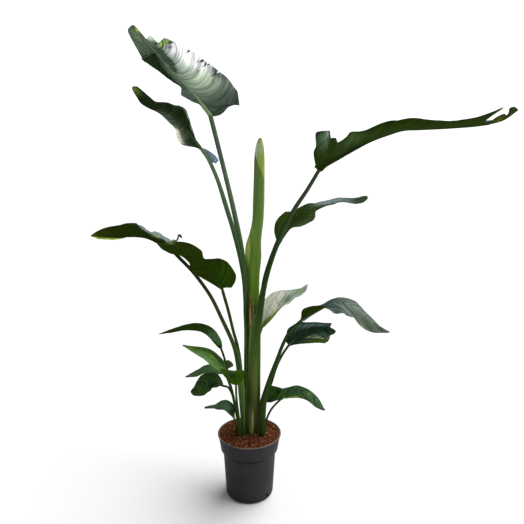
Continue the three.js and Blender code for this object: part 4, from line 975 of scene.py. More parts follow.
LEAVES["leaf_middle_right"] = {
    "facing": 25, "stalk_end": 6,
    "midrib": [
        [108.5, 4, 970], [145.5, 8, 1034], [191, 12, 1077], [246, 16, 1100], [325, 22, 1118],
        [423, 30, 1131],
    ],
    "roll": [[0, 60], [0.4, 50], [0.6, 15], [0.72, 25], [0.85, 50], [1, 50]],
    "left": {
        "width": [
            [0, 6], [0.027, 13.7], [0.067, 27], [0.1, 38], [0.16, 48.5], [0.24, 44.5], [0.28, 30],
            [0.336, 23], [0.44, 22.4], [0.5, 17], [0.57, 21.3], [0.634, 22.7], [0.698, 21], [0.786, 9],
            [0.88, 3], [0.966, 6.5], [1, 3],
        ],
        "fold": 10, "sweep": [[0, -0.5], [0.2, 0.1], [1, 0.6]],
    },
    "right": {
        "width": [
            [0, 4.5], [0.079, 7.3], [0.162, 11.4], [0.198, 18.5], [0.233, 33.4], [0.296, 42.4],
            [0.361, 45], [0.421, 36], [0.472, 17], [0.527, 14.5], [0.632, 16.4], [0.7, 8], [0.76, 10.7],
            [0.8, 17.7], [0.85, 23.3], [0.907, 21], [0.956, 13.7], [1, 4],
        ],
        "fold": [[0, -10], [0.4, -20], [0.6, -10], [1, 0]], "sweep": [[0, -0.2], [0.3, 0.25], [1, 0.6]],
    },
    "stalk": [
        *sheath(25, INNER_RING, 66, 2.3), [*on_trunk(25, INNER_RING + 1, 630), 22, 2.8, 27],
        [40, 18, 695, 15, 4, 40], [48, 19, 755, 10, 6], [54, 17, 818, 7.5], [68, 13, 877, 7],
        [86, 8, 925, 6.5],
    ],
    "upper": (54, 78, 20), "under": (60, 84, 34), "rib": (58, 84, 34), "slant": 2.2,
    # The two blue-grey upper strokes, at 0.66 and 0.8, are a painted sheen.
    "upper_strokes": [
        [0.16, -0.6, 0.09, 0.5, 0.8, 62, 88, 24], [0.3, 0.8, 0.1, 0.3, 0.9, 86, 102, 64],
        [0.42, 0.7, 0.06, 0.3, 0.7, 74, 98, 56], [0.3, 0.2, 0.1, 0.3, 0.5, 34, 50, 16],
        [0.66, -0.5, 0.12, 0.6, 3, 140, 160, 160], [0.8, 0, 0.06, 1, 0.8, 132, 154, 144],
        [0.93, 0.2, 0.06, 1, 1, 64, 82, 54],
    ],
    "stalk_colours": [[170, 46, 66, 26], [700, 46, 70, 34], [1000, 40, 60, 30]],
}
LEAVES["leaf_bright_behind"] = {
    "facing": 80, "stalk_end": 5,
    "midrib": [
        [48, 60, 641], [82, 66, 670], [114, 74, 706], [147, 82, 736], [182, 90, 767], [221, 96, 798],
    ],
    "roll": [[0, 40], [0.3, 50], [1, 40]],
    "left": {
        "width": [
            [0, 30], [0.1, 50], [0.25, 68], [0.4, 66], [0.55, 50], [0.7, 26], [0.773, 16.8], [0.89, 4],
            [1, 2],
        ],
        "fold": 10, "sweep": [[0, -0.2], [0.3, 0.2], [1, 0.5]],
    },
    "right": {
        "width": [
            [0, 6], [0.2, 23], [0.4, 27], [0.55, 16], [0.685, 10.5], [0.753, 18], [0.855, 19], [1, 2],
        ],
        "fold": [[0, 90], [0.4, 80], [0.6, 20], [0.75, 0], [1, 0]],
        "sweep": [[0, 0], [0.4, 0.3], [1, 0.5]],
    },
    "stalk": [
        *sheath(80, OUTER_RING, 52, 2.4, [150, 280, 380]), [17, 41, 460, 16, 4, 40], [20, 47, 530, 8, 6],
        [31, 54, 590, 6],
    ],
    # The pale cream upper tint and the near-white strokes at 0.3 and 0.34 are painted sunlight and
    # highlight.
    "upper": (196, 220, 194), "under": (78, 116, 10), "rib": (92, 124, 40), "slant": 3.2,
    "upper_strokes": [
        [0.3, -0.5, 0.26, 0.6, 3, 255, 255, 240], [0.34, 0.5, 0.2, 0.6, 2, 255, 252, 226],
        [0.1, -0.05, 0.11, 0.18, 1.8, 84, 120, 20], [0.6, -0.2, 0.14, 0.3, 0.9, 124, 152, 128],
        [0.88, 0, 0.12, 1, 0.6, 166, 192, 138], [0.34, 0.02, 0.2, 0.05, 1, 120, 150, 116],
        [0.3, -0.3, 0.02, 0.3, 0.5, 170, 190, 160], [0.44, -0.3, 0.02, 0.3, 0.6, 150, 176, 150],
    ],
    "stalk_colours": [[170, 50, 74, 30], [600, 60, 92, 34]],
}
LEAVES["leaf_arching_right"] = {
    "facing": 300, "stalk_end": 5,
    "midrib": [
        [191, -25, 694], [220, -28, 713], [256, -30, 734], [291, -32, 752], [333, -35, 760],
        [382, -40, 741], [418, -43, 710], [461, -47, 678], [501, -50, 657],
    ],
    "roll": [[0, 0], [0.2, 5], [0.33, 30], [1, 35]],
    "left": {
        "width": [
            [0, 9], [0.1, 20], [0.217, 24], [0.27, 19], [0.32, 20.5], [0.42, 24.8], [0.53, 29],
            [0.6, 20.6], [0.673, 20.3], [0.778, 14.8], [0.885, 6], [1, 3],
        ],
        "fold": [[0, 40], [0.3, 10], [1, 0]], "sweep": [[0, -0.3], [0.3, 0.3], [1, 0.6]],
    },
    "right": {
        "width": [
            [0, 9.4], [0.03, 28.8], [0.07, 33.7], [0.12, 26], [0.17, 18], [0.22, 14], [0.27, 26],
            [0.3, 45], [0.35, 50], [0.45, 51.5], [0.51, 49], [0.574, 42], [0.605, 46], [0.657, 50],
            [0.72, 47], [0.813, 36], [0.89, 21], [1, 3],
        ],
        "fold": [[0, 85], [0.19, 80], [0.27, 0], [1, -10]],
        "sweep": [[0, 0.3], [0.07, 0.23], [0.12, 0.7], [0.2, 1], [0.3, 0.2], [1, 0.5]],
    },
    "stalk": [
        [47, -26, 150, 9, 6], [49, -25, 280, 12, 7, 40], [52, -22, 369, 14, 7.5, 40],
        [65, -20, 425, 11, 8], [80, -16, 476, 8, 7], [104, -13, 541, 7, 6.5], [125, -13, 599, 6.3],
        [150, -17, 650, 5.5],
    ],
    # The grey-blue upper tint and the grey strokes at 0.36 and 0.52 are a painted sheen, and the pale
    # narrow stroke at 0.64 is a painted highlight along the ridge.
    "upper": (102, 118, 106), "under": (38, 58, 2), "rib": (84, 100, 80), "slant": 1.6, "bold": True,
    "upper_strokes": [
        [0.36, 0, 0.08, 1.2, 0.7, 84, 104, 98], [0.52, -0.4, 0.12, 0.4, 0.5, 116, 128, 114],
        [0.74, 0.5, 0.14, 0.45, 1.2, 78, 94, 68], [0.64, -0.1, 0.08, 0.1, 0.9, 136, 146, 126],
        [0.92, 0.2, 0.1, 1, 0.8, 60, 78, 60],
    ],
    "under_strokes": [[0.02, 0.5, 0.05, 1, 0.5, 28, 48, 2]],
    "stalk_colours": [[170, 30, 44, 12], [300, 38, 56, 16], [420, 42, 60, 18], [600, 46, 66, 24]],
}
LEAVES["leaf_torn_right"] = {
    "facing": 300, "stalk_end": 4.5,
    "midrib": [[148, 15, 585], [180, 10, 618], [221, 5, 644], [264, 0, 654], [317, -5, 644]],
    "roll": [[0, 60], [1, 50]],
    "left": {
        "width": [
            [0, 20], [0.076, 34], [0.153, 47], [0.21, 45.8], [0.326, 45.8], [0.408, 34.4], [0.58, 24.7],
            [0.709, 21.2], [0.83, 26.6], [0.85, 12], [0.93, 8], [1, 3],
        ],
        "fold": 10, "sweep": [[0, -0.1], [0.3, 0.4], [1, 0.6]],
    },
    "right": {
        "width": [
            [0, 5], [0.043, 8.9], [0.214, 30.5], [0.415, 48.9], [0.638, 55.7], [0.806, 44.5], [0.868, 28],
            [0.88, 20], [0.945, 12], [1, 3],
        ],
        "fold": -10, "sweep": [[0, 0], [0.3, 0.2], [1, 0.4]],
    },
    "stalk": [[54, 8, 150], [57, 7, 280], [63, 4, 373], [82, 4, 436], [102, 6, 503], [124, 10, 550]],
    "upper": (26, 54, 32), "under": (50, 80, 30), "rib": (96, 122, 104), "slant": 1.5, "bold": True,
    # The teal upper strokes at 0.55 and 0.6 are a painted sheen.
    "upper_strokes": [
        [0.55, -0.62, 0.25, 0.22, 1.2, 100, 126, 118], [0.72, 0.1, 0.16, 0.16, 0.8, 24, 48, 26],
        [0.6, 0.5, 0.25, 0.18, 1, 92, 118, 98], [0.4, 0.95, 0.2, 0.14, 1, 60, 86, 24],
        [0.82, 0.55, 0.08, 0.3, 0.7, 52, 70, 34], [0.3, -0.2, 0.14, 0.2, 0.4, 40, 68, 48],
        [0.5, 1, 0.3, 0.22, 3, 78, 104, 14], [0.44, 0.44, 0.07, 0.03, 1.5, 170, 186, 140],
        [0.57, 0.58, 0.07, 0.03, 1.8, 206, 214, 172], [0.7, 0.68, 0.07, 0.03, 1.5, 186, 198, 150],
        [0.84, 0.78, 0.06, 0.03, 1, 160, 174, 120],
    ],
    "stalk_colours": [[170, 30, 42, 12], [400, 34, 54, 8], [600, 46, 70, 26]],
}
LEAVES["leaf_low_right"] = {
    "facing": 300, "stalk_end": 4,
    "midrib": [[118, -5, 379], [153, -10, 405], [197, -15, 413], [241, -20, 391], [282, -25, 345]],
    "roll": 35,
    "left": {
        "width": [
            [0, 2], [0.02, 9.3], [0.045, 28.7], [0.07, 56.3], [0.1, 73.6], [0.13, 69.2], [0.16, 51.4],
            [0.2, 29], [0.26, 25.6], [0.343, 25.4], [0.432, 20.3], [0.56, 16.7], [0.68, 14], [0.8, 10.8],
            [0.946, 3.6], [1, 2],
        ],
        "fold": 10,
        "sweep": [
            [0, -3.96], [0.02, -3.96], [0.045, -2.38], [0.07, -1.35], [0.1, -0.83], [0.13, -0.6],
            [0.2, -0.54], [0.26, -0.14], [0.33, 0.05], [1, 0.5],
        ],
    },
    "right": {
        "width": [
            [0, 1], [0.058, 1.5], [0.135, 11], [0.309, 21.4], [0.436, 23.8], [0.576, 22.6], [0.726, 22.3],
            [0.901, 11.6], [1, 2],
        ],
        "fold": -15, "curl": -10, "sweep": [[0, -1.1], [0.12, -0.5], [0.3, 0], [1, 0.5]],
    },
    "stalk": [[57, -8, 150], [57, -8, 235], [62, -8, 285], [73, -7, 320], [89, -6, 348]],
    "upper": (58, 92, 52), "under": (50, 80, 34), "rib": (92, 118, 70), "slant": 1.3, "bold": True,
    "upper_strokes": [
        [0.1, -0.5, 0.08, 0.7, 1.3, 62, 102, 34], [0.32, -0.3, 0.14, 0.5, 0.6, 54, 84, 58],
        [0.57, -0.1, 0.1, 0.5, 0.9, 84, 108, 58], [0.8, 0.2, 0.14, 0.8, 0.6, 68, 94, 66],
        [0.25, 0.9, 0.12, 0.25, 1.3, 140, 170, 70], [0.56, 0.95, 0.2, 0.2, 0.6, 36, 56, 26],
        [0.104, -0.39, 0.02, 0.08, 1, 20, 30, 10],
    ],
    "stalk_colours": [[170, 36, 50, 16], [300, 40, 62, 18], [400, 42, 68, 26]],
}
LEAVES["leaf_far_left"] = {
    "facing": 225, "stalk_end": 5.5,
    "midrib": [
        [-258, -80, 957], [-296, -90, 980], [-333, -100, 999], [-372, -115, 1007], [-433, -135, 1008],
        [-501, -160, 1014],
    ],
    "roll": 0,
    "left": {
        "width": [
            [0, 14], [0.14, 19], [0.25, 23], [0.32, 19], [0.378, 25], [0.433, 36], [0.474, 48], [0.54, 48],
            [0.65, 43], [0.8, 33], [0.92, 17], [1, 3],
        ],
        "fold": [[0, 60], [0.4, 75], [1, 70]], "sweep": [[0, -0.3], [0.4, 0.1], [0.5, 0.1], [1, 0.5]],
    },
    "right": {
        "width": [
            [0, 40], [0.09, 44], [0.196, 44], [0.25, 42], [0.296, 32], [0.332, 39.5], [0.368, 54],
            [0.42, 60], [0.6, 53], [0.8, 44], [1, 3],
        ],
        "fold": [[0, 35], [0.3, 42], [0.5, 24], [0.6, -16], [1, -16]],
        "sweep": [[0, -0.3], [0.3, 0.2], [1, 0.6]],
    },
    "lobe": {
        "midrib": [
            [-262, -46, 983], [-248, -45, 985], [-242, -45, 994], [-241, -45, 1001], [-237, -45, 1004],
            [-232, -45, 999], [-230, -45, 993],
        ],
        "roll": 90,
        "left": {"width": [[0, 6], [0.3, 3], [0.6, 3], [0.8, 4.5], [1, 2]]},
        "right": {"width": [[0, 6], [0.3, 3], [0.6, 3], [0.8, 4.5], [1, 2]]},
        "upper": (84, 108, 50), "under": (70, 92, 40), "slant": 0.3,
        "upper_strokes": [[0.1, 0, 0.3, 2, 1, 160, 178, 140]],
        "under_strokes": [[0.1, 0, 0.3, 2, 1, 160, 178, 140]],
    },
    "stalk": [
        [-20, -15, 150, 8, 4.5], [-23, -17, 270, 10, 5.5, 30], [-27, -20, 360, 14, 6.5, 24],
        [-31, -23, 432, 17, 7, 22], [-35, -28, 497, 16, 7.5, 24], [-43, -34, 561, 12, 7.5, 40],
        [-58, -42, 617, 8.5, 7], [-92, -54, 702, 6.8], [-132, -64, 793, 6.3], [-186, -72, 875, 6],
        [-235, -78, 931, 6],
    ],
    # The grey-blue upper tint is a painted sheen.
    "upper": (128, 146, 138), "under": (32, 45, 2), "rib": (30, 42, 2), "slant": 0.7,
    "under_strokes": [
        [0.85, -0.4, 0.12, 0.8, 0.7, 42, 54, 4], [0.74, 0.7, 0.17, 0.25, 4, 140, 166, 20],
        [0.6, 0.3, 0.2, 0.08, 1, 14, 24, 2], [0.41, -1, 0.07, 0.1, 1, 110, 128, 112],
        [0.25, -0.98, 0.04, 0.26, 1.6, 172, 188, 150], [0.97, 0, 0.04, 1, 0.8, 76, 96, 20],
        [0.3, 0, 0.1, 0.4, 0.4, 20, 30, 2],
    ],
    "stalk_colours": [
        [170, 56, 76, 40], [420, 80, 112, 56], [520, 78, 106, 50], [650, 58, 78, 30], [950, 18, 26, 6],
    ],
}
LEAVES["leaf_front_left"] = {
    "facing": 225, "stalk_end": 5,
    "midrib": [
        [-88, -100, 828], [-123, -108, 876], [-154, -116, 912], [-184, -124, 945], [-212, -130, 965],
        [-247, -136, 977], [-294, -145, 990],
    ],
    "roll": [[0, 75], [1, 60]],
    "left": {
        "width": [
            [0, 26], [0.1, 68], [0.2, 71], [0.28, 60], [0.35, 38], [0.42, 22], [0.5, 34], [0.6, 32],
            [0.75, 22], [0.9, 10], [1, 2],
        ],
        "fold": 5, "curl": 15, "sweep": [[0, -0.7], [0.1, -0.2], [0.3, 0.1], [1, 0.4]],
    },
    "right": {
        "width": [
            [0, 6], [0.1, 16], [0.25, 32], [0.35, 39], [0.43, 36], [0.5, 26], [0.62, 25], [0.75, 29],
            [0.88, 22], [1, 2],
        ],
        "sweep": [[0, 0], [0.3, 0.1], [1, 0.4]],
    },
    "stalk": [
        [-27, 2, 150], [-26, 1, 330], [-26, -2, 432, 5.5], [-32, -12, 529, 5.5], [-41, -28, 597, 5.5],
        [-54, -50, 660, 5.5], [-68, -76, 738, 5.5], [-80, -92, 792, 5.5],
    ],
    "upper": (52, 70, 20), "under": (36, 54, 2), "rib": (36, 56, 2), "slant": 0.6,
    "under_strokes": [
        [0.65, -0.4, 0.14, 0.6, 0.7, 44, 58, 4], [0.2, -0.5, 0.08, 0.3, 0.4, 42, 60, 6],
        [0.14, -0.4, 0.12, 0.6, 0.8, 34, 64, 2], [0.84, -0.7, 0.04, 0.2, 1, 132, 146, 110],
        [0.36, -0.8, 0.06, 0.3, 0.4, 22, 34, 2],
    ],
    "stalk_colours": [[170, 66, 94, 30], [500, 52, 76, 28], [800, 40, 60, 14]],
}
LEAVES["leaf_arching_left"] = {
    "facing": 225, "stalk_end": 4,
    "midrib": [
        [-103, -20, 588], [-123, -24, 609], [-147, -28, 637], [-177, -34, 656], [-228, -42, 662],
        [-280, -50, 655], [-319, -55, 650],
    ],
    "roll": [[0, 20], [1, 0]],
    "left": {
        "width": [[0, 9], [0.12, 28], [0.3, 32], [0.5, 28], [0.7, 17.5], [0.85, 10], [1, 2]],
        "fold": [[0, 20], [0.15, 50], [0.3, 70], [1, 70]],
        "sweep": [[0, -0.3], [0.2, 0], [0.5, 0], [1, 0.3]],
    },
    "right": {
        "width": [[0, 16], [0.08, 28], [0.15, 31], [0.35, 32], [0.6, 26], [0.8, 16], [1, 2]], "fold": 30,
        "sweep": [[0, -0.3], [0.3, 0.2], [1, 0.5]],
    },
    "stalk": [
        [-35, 11, 150], [-40, 7, 248], [-49, 0, 313], [-59, -8, 378], [-69, -14, 436], [-80, -18, 497],
        [-91, -20, 552],
    ],
    "upper": (56, 78, 40), "under": (38, 56, 4), "rib": (46, 64, 14), "slant": 1.0,
    "under_strokes": [[0.15, 0, 0.12, 1.2, 2, 80, 116, 68], [0.03, 0, 0.04, 1, 0.7, 34, 60, 24]],
    "stalk_colours": [[170, 66, 94, 28], [400, 46, 72, 26], [600, 38, 60, 26]],
}
LEAVES["leaf_light_left"] = {
    "facing": 225, "stalk_end": 4,
    "midrib": [[-81, -60, 512], [-116, -68, 553], [-140, -75, 577], [-171, -84, 597], [-229, -95, 624]],
    "roll": [[0, -40], [1, -30]],
    "left": {
        "width": [[0, 6], [0.15, 24], [0.35, 30], [0.6, 22], [0.8, 12], [1, 2]],
        "sweep": [[0, 0], [0.3, 0.3], [1, 0.5]],
    },
    "right": {
        "width": [[0, 6], [0.15, 26], [0.35, 28], [0.6, 20], [0.8, 10], [1, 2]], "fold": 10,
        "sweep": [[0, 0], [0.3, 0.3], [1, 0.5]],
    },
    "stalk": [
        [-34, -4, 150], [-37, -10, 253], [-44, -21, 312], [-52, -33, 378], [-62, -43, 434],
        [-72, -52, 480],
    ],
    "upper": (80, 114, 50), "under": (60, 92, 36), "rib": (98, 130, 60), "slant": 1.4,
    "upper_strokes": [
        [0.6, 0.55, 0.3, 0.4, 1.4, 50, 86, 20], [0.25, 0.6, 0.2, 0.4, 1.3, 34, 70, 10],
        [0.5, -0.7, 0.25, 0.3, 1.2, 98, 128, 76], [0.95, 0, 0.06, 1, 0.6, 60, 84, 40],
        [0.42, 0.2, 0.16, 0.14, 1, 96, 138, 40],
    ],
    "stalk_colours": [[170, 70, 98, 28], [400, 48, 76, 22], [550, 48, 80, 32]],
}
LEAVES["leaf_teal_left"] = {
    "facing": 225, "stalk_end": 4,
    "midrib": [[-94, 8, 482], [-155, 14, 491], [-197, 19, 475], [-242, 24, 456]], "roll": -30,
    "left": {
        "width": [[0, 10], [0.3, 19], [0.6, 19], [0.85, 9], [1, 2]],
        "sweep": [[0, -0.3], [0.25, 0.1], [0.5, 0.3], [1, 0.8]],
    },
    "right": {
        "width": [
            [0, 34.6], [0.03, 52], [0.06, 59], [0.09, 48], [0.14, 34], [0.25, 24], [0.4, 22], [0.65, 14],
            [1, 2],
        ],
        "sweep": [[0, -0.83], [0.03, -0.45], [0.06, -0.18], [0.09, -0.12], [0.2, 0], [1, 0.5]],
    },
    "stalk": [[-32, 28, 150], [-38, 25, 263], [-50, 20, 323], [-64, 14, 391], [-80, 10, 449]],
    "upper": (76, 114, 66), "under": (60, 80, 20), "rib": (74, 100, 62), "slant": 1.2,
    "upper_strokes": [
        [0.7, 0.3, 0.2, 0.5, 0.5, 66, 98, 66], [0.03, 0.7, 0.08, 0.6, 2.4, 46, 70, 4],
        [0.09, 1.02, 0.06, 0.06, 1, 140, 104, 40], [0.4, 0.8, 0.3, 0.2, 0.5, 30, 54, 26],
    ],
    "stalk_colours": [[170, 44, 60, 18], [400, 46, 72, 22], [550, 42, 68, 32]],
}
LEAVES["leaf_round_left"] = {
    "facing": 225, "stalk_end": 4,
    "midrib": [[-95, -55, 456], [-125, -62, 478], [-157, -69, 472], [-185, -76, 455], [-204, -84, 439]],
    "roll": -55,
    "left": {
        "width": [
            [0, 2], [0.056, 6.5], [0.15, 21.4], [0.43, 33.2], [0.655, 35.5], [0.821, 27.9], [0.954, 14.6],
            [1, 5],
        ],
        "fold": -10, "sweep": [[0, 0], [0.5, 0.2], [1, 0.2]],
    },
    "right": {
        "width": [
            [0, 8], [0.3, 30], [0.51, 32.2], [0.609, 26], [0.718, 18.8], [0.827, 11.5], [0.948, 9.1],
            [1, 3],
        ],
        "sweep": [[0, 0], [0.5, 0.2], [1, 0.2]],
    },
    "stalk": [
        [-36, -15, 150], [-37, -23, 251], [-42, -36, 310], [-51, -48, 375], [-60, -53, 419],
        [-74, -54, 448],
    ],
    "upper": (50, 82, 32), "under": (34, 50, 14), "rib": (52, 80, 34), "slant": 1.0, "bold": True,
    # The near-black upper stroke at 0.3 is painted shade.
    "upper_strokes": [
        [0.5, 0.8, 0.35, 0.3, 0.7, 46, 78, 26], [0.3, -0.5, 0.2, 0.5, 0.9, 10, 20, 6],
        [0.8, -0.1, 0.14, 0.4, 0.5, 30, 56, 14],
    ],
    "stalk_colours": [[170, 64, 88, 24], [400, 46, 72, 20], [550, 42, 68, 24]],
}
LEAVES["leaf_cupped_left"] = {
    "facing": 225, "stalk_end": 4,
    "midrib": [[-46, -60, 461], [-46, -90, 499], [-45, -125, 530], [-45, -165, 554], [-44, -200, 573]],
    "roll": 0,
    "left": {
        "width": [[0, 14], [0.25, 32], [0.5, 35], [0.75, 26], [1, 3]], "fold": 15,
        "sweep": [[0, -0.2], [0.3, 0.1], [1, 0.3]],
    },
    "right": {
        "width": [[0, 12], [0.25, 44], [0.5, 52], [0.75, 38], [1, 3]], "fold": 15,
        "sweep": [[0, -0.2], [0.3, 0.1], [1, 0.3]],
    },
    "stalk": [[-26, -26, 150], [-29, -33, 250], [-35, -44, 307], [-41, -54, 368], [-45, -60, 417]],
    "upper": (54, 84, 12), "under": (50, 80, 2), "rib": (46, 74, 2), "slant": 0.8,
    "under_strokes": [[0.38, 0.2, 0.14, 0.35, 1, 18, 38, 2], [0.8, -0.5, 0.2, 0.4, 0.8, 58, 92, 4]],
    "stalk_colours": [[170, 52, 66, 20], [350, 46, 72, 20], [550, 50, 84, 14]],
}
LEAVES["leaf_low_left"] = {
    "facing": 225, "stalk_end": 3,
    "midrib": [[-54, -61, 335], [-63, -64, 367], [-87, -68, 384], [-119, -71, 382], [-159, -75, 379]],
    "roll": -40,
    "left": {
        "width": [[0, 5], [0.25, 20], [0.425, 16.2], [0.616, 12], [0.74, 5.7], [0.912, 3.1], [1, 2]],
        "fold": -10, "sweep": [[0, -0.3], [0.25, 0.1], [0.5, 0.3], [1, 0.8]],
    },
    "right": {
        "width": [
            [0, 5], [0.2, 20], [0.36, 24.6], [0.505, 20.7], [0.586, 15.5], [0.712, 8.9], [0.82, 8.1],
            [0.976, 4.4], [1, 2],
        ],
        "sweep": [[0, -0.3], [0.25, 0.1], [0.5, 0.3], [1, 0.8]],
    },
    "stalk": [[-46, 0, 150], [-48, -2, 244], [-51, -34, 293]], "upper": (68, 96, 66),
    "under": (50, 62, 26), "rib": (60, 84, 54), "slant": 1.2,
    "upper_strokes": [[0.15, -0.2, 0.16, 0.9, 1.4, 16, 36, 12], [0.65, 0.2, 0.2, 0.5, 0.7, 92, 118, 90]],
    "stalk_colours": [[170, 74, 96, 30], [300, 46, 68, 28], [420, 42, 62, 34]],
}


def turned_grid(profile, turn):
    """A profile of [radius, height] points carried round the vertical axis to every angle of turn."""
    radius, height = np.array(profile, float).T[..., None]
    x, y = radius * np.cos(turn), radius * np.sin(turn)
    return np.stack([x, y, np.broadcast_to(height, x.shape)], axis=-1)


def rounded(profile, size, steps=4):
    """A profile whose inner corners are replaced by short arcs, each a quadratic curve that starts
    and ends size away from the corner, or at MOST_OF_A_SIDE where a side is short."""
    p = np.array(profile, float)
    rows = [p[:1]]
    for before, corner, after in zip(p[:-2], p[1:-1], p[2:]):
        into, out = before - corner, after - corner
        a = corner + into * min(MOST_OF_A_SIDE, size / np.linalg.norm(into))
        b = corner + out * min(MOST_OF_A_SIDE, size / np.linalg.norm(out))
        t = np.linspace(0, 1, steps + 1)[:, None]
        rows.append((1 - t) ** 2 * a + 2 * t * (1 - t) * corner + t**2 * b)
    return np.concatenate([*rows, p[-1:]])


def wall_radius(height):
    """The pot's outside radius, which grows evenly from the rounding of its foot to its neck."""
    share = (height - FOOT_ROUNDING) / (NECK_HEIGHT - FOOT_ROUNDING)
    return BODY_FOOT_RADIUS + (BODY_TOP_RADIUS - BODY_FOOT_RADIUS) * share


def pot_profile():
    """Up the outside, over the rim and down the inside, and the numbers of the rows where the drain
    holes start outside and inside. The foot is a quarter circle, and other corners are short arcs."""
    low = DRAIN_HOLE_LEVEL - DRAIN_HOLE_HEIGHT / 2
    high = DRAIN_HOLE_LEVEL + DRAIN_HOLE_HEIGHT / 2
    above = high + DRAIN_SHADOW_EDGE
    arc = [math.radians(a) for a in range(-90, 1, FOOT_ARC_STEP)]
    floor_reach = BODY_FOOT_RADIUS - FOOT_ROUNDING
    foot = [[floor_reach + FOOT_ROUNDING * math.cos(a), FOOT_ROUNDING * (1 + math.sin(a))] for a in arc]
    bend = NECK_HEIGHT - NECK_BEND
    edge_radius, edge_height = COLLAR_FOOT_RADIUS - COLLAR_EDGE, COLLAR_FOOT_HEIGHT + COLLAR_EDGE
    shoulder_in, shoulder_up = COLLAR_SHOULDER
    outside = [
        [wall_radius(high), high], [wall_radius(above), above], [wall_radius(bend), bend],
        [BODY_TOP_RADIUS, NECK_HEIGHT],
        [(BODY_TOP_RADIUS + edge_radius) / 2, (NECK_HEIGHT + edge_height) / 2],
        [edge_radius, edge_height],
        [COLLAR_FOOT_RADIUS - shoulder_in, COLLAR_FOOT_HEIGHT + shoulder_up],
        [COLLAR_TOP_RADIUS, POT_HEIGHT - RIM_SLOPE * RIM_DEPTH], [RIM_RADIUS, POT_HEIGHT - RIM_DEPTH],
        [RIM_RADIUS, POT_HEIGHT], [COLLAR_TOP_RADIUS - WALL, POT_HEIGHT],
        [COLLAR_FOOT_RADIUS - WALL, COLLAR_FOOT_HEIGHT], [BODY_TOP_RADIUS - WALL, NECK_HEIGHT],
        [wall_radius(high) - WALL, high],
    ]
    below = [[0, 0], *foot, [wall_radius(low), low]]
    inner_foot = [[wall_radius(low) - WALL, low], [BODY_FOOT_RADIUS - WALL, FOOT_ROUNDING]]
    inner_foot += [[floor_reach, WALL], [0, WALL]]
    rows = np.array([*below, *rounded(outside, POT_ROUNDING), *inner_foot], float)
    return rows, len(below) - 1, len(rows) - len(inner_foot) - 1


def make_pot():
    """The pot is a turned shell. Cells of the outer and inner wall inside each drain hole are left
    out, and short walls join their edges: a lip under the hole, a lid over it and two sides. A hole
    has the columns from one edge up to the other, without the last."""
    rows, outer, inner = pot_profile()
    half = math.degrees(DRAIN_HOLE_WIDTH / 2 / BODY_FOOT_RADIUS)
    centres = np.array([FIRST_DRAIN_ANGLE + 360 / DRAIN_HOLES * i for i in range(DRAIN_HOLES)])
    edges = np.concatenate([centres - half, centres + half]) % 360
    even = np.arange(0, 360, POT_COLUMN_STEP) + POT_COLUMN_SHIFT
    angles = np.unique(np.round(np.concatenate([even, edges]), 4))
    width = len(angles)
    grid = turned_grid(rows, np.radians(angles))
    quads = grid_quads(len(rows), width, closed=True)
    row, column = quads[:, 0] // width, quads[:, 0] % width
    step = (angles[:, None] - centres[None] + 180) % 360 - 180
    in_hole = (np.abs(step + HOLE_EDGE_ALLOWANCE) < half).any(axis=1)
    gap = in_hole[column] & ((row == outer) | (row == inner))
    maps = np.stack(
        np.broadcast_arrays(np.radians(angles)[None] * RIM_RADIUS, travelled(rows)[:, None]), axis=-1
    )
    radius, height = rows.T
    low, high = COLLAR_SHADOW_HEIGHTS
    tint = np.broadcast_to(colour(*POT_TINT), grid.shape).copy()
    # Painted shadow: the band under the collar is tinted near black.
    tint[(height > low) & (height < high) & (radius > COLLAR_SHADOW_RADIUS)] = colour(*COLLAR_SHADOW_TINT)
    # Painted shade inside each drain hole: the rows round it are tinted near black.
    for row_of_hole in (outer, outer + 1, inner, inner + 1):
        tint[row_of_hole, in_hole] = colour(*DRAIN_HOLE_SHADOW_TINT)
    tint[height > RIM_TINT_HEIGHT] = colour(*RIM_TINT)
    surface = Surface()
    surface.add(grid, quads[~gap], maps, tint, 0)
    a = column[gap & (row == outer)]
    b = (a + 1) % width
    o, i = outer * width, inner * width
    starts, ends = a[~in_hole[(a - 1) % width]], b[~in_hole[b]]
    lip = np.stack([a + o, b + o, b + i + width, a + i + width], axis=-1)
    lid = np.stack([b + o + width, a + o + width, a + i, b + i], axis=-1)
    near = np.stack([starts + o + width, starts + o, starts + i + width, starts + i], axis=-1)
    far = np.stack([ends + o, ends + o + width, ends + i, ends + i + width], axis=-1)
    surface.add_quads(np.concatenate([lip, lid, near, far]), 0)
    return make_piece("nursery_pot", surface, ["pot_plastic"], sharp_angle=35)


def soil_height(x, y):
    """Lumpy soil: a low crown and a sum of waves in seeded directions, from hand-sized to crumbs."""
    draw = np.random.default_rng(SEED)
    reach = np.hypot(x, y)
    height = SOIL_LEVEL + SOIL_CROWN * np.exp(-((reach / SOIL_CROWN_RADIUS) ** 2))
    height -= SOIL_EDGE_DROP * smooth_step((reach - SOIL_EDGE + SOIL_EDGE_WIDTH) / SOIL_EDGE_WIDTH)
    for spacing, size in SOIL_WAVES:
        for _ in range(WAVES_OF_A_SIZE):
            turn, phase = draw.uniform(0, 2 * np.pi, 2)
            travel = x * math.cos(turn) + y * math.sin(turn)
            height += size * np.sin(2 * np.pi * travel / spacing + phase) / WAVE_CALMING
    return height


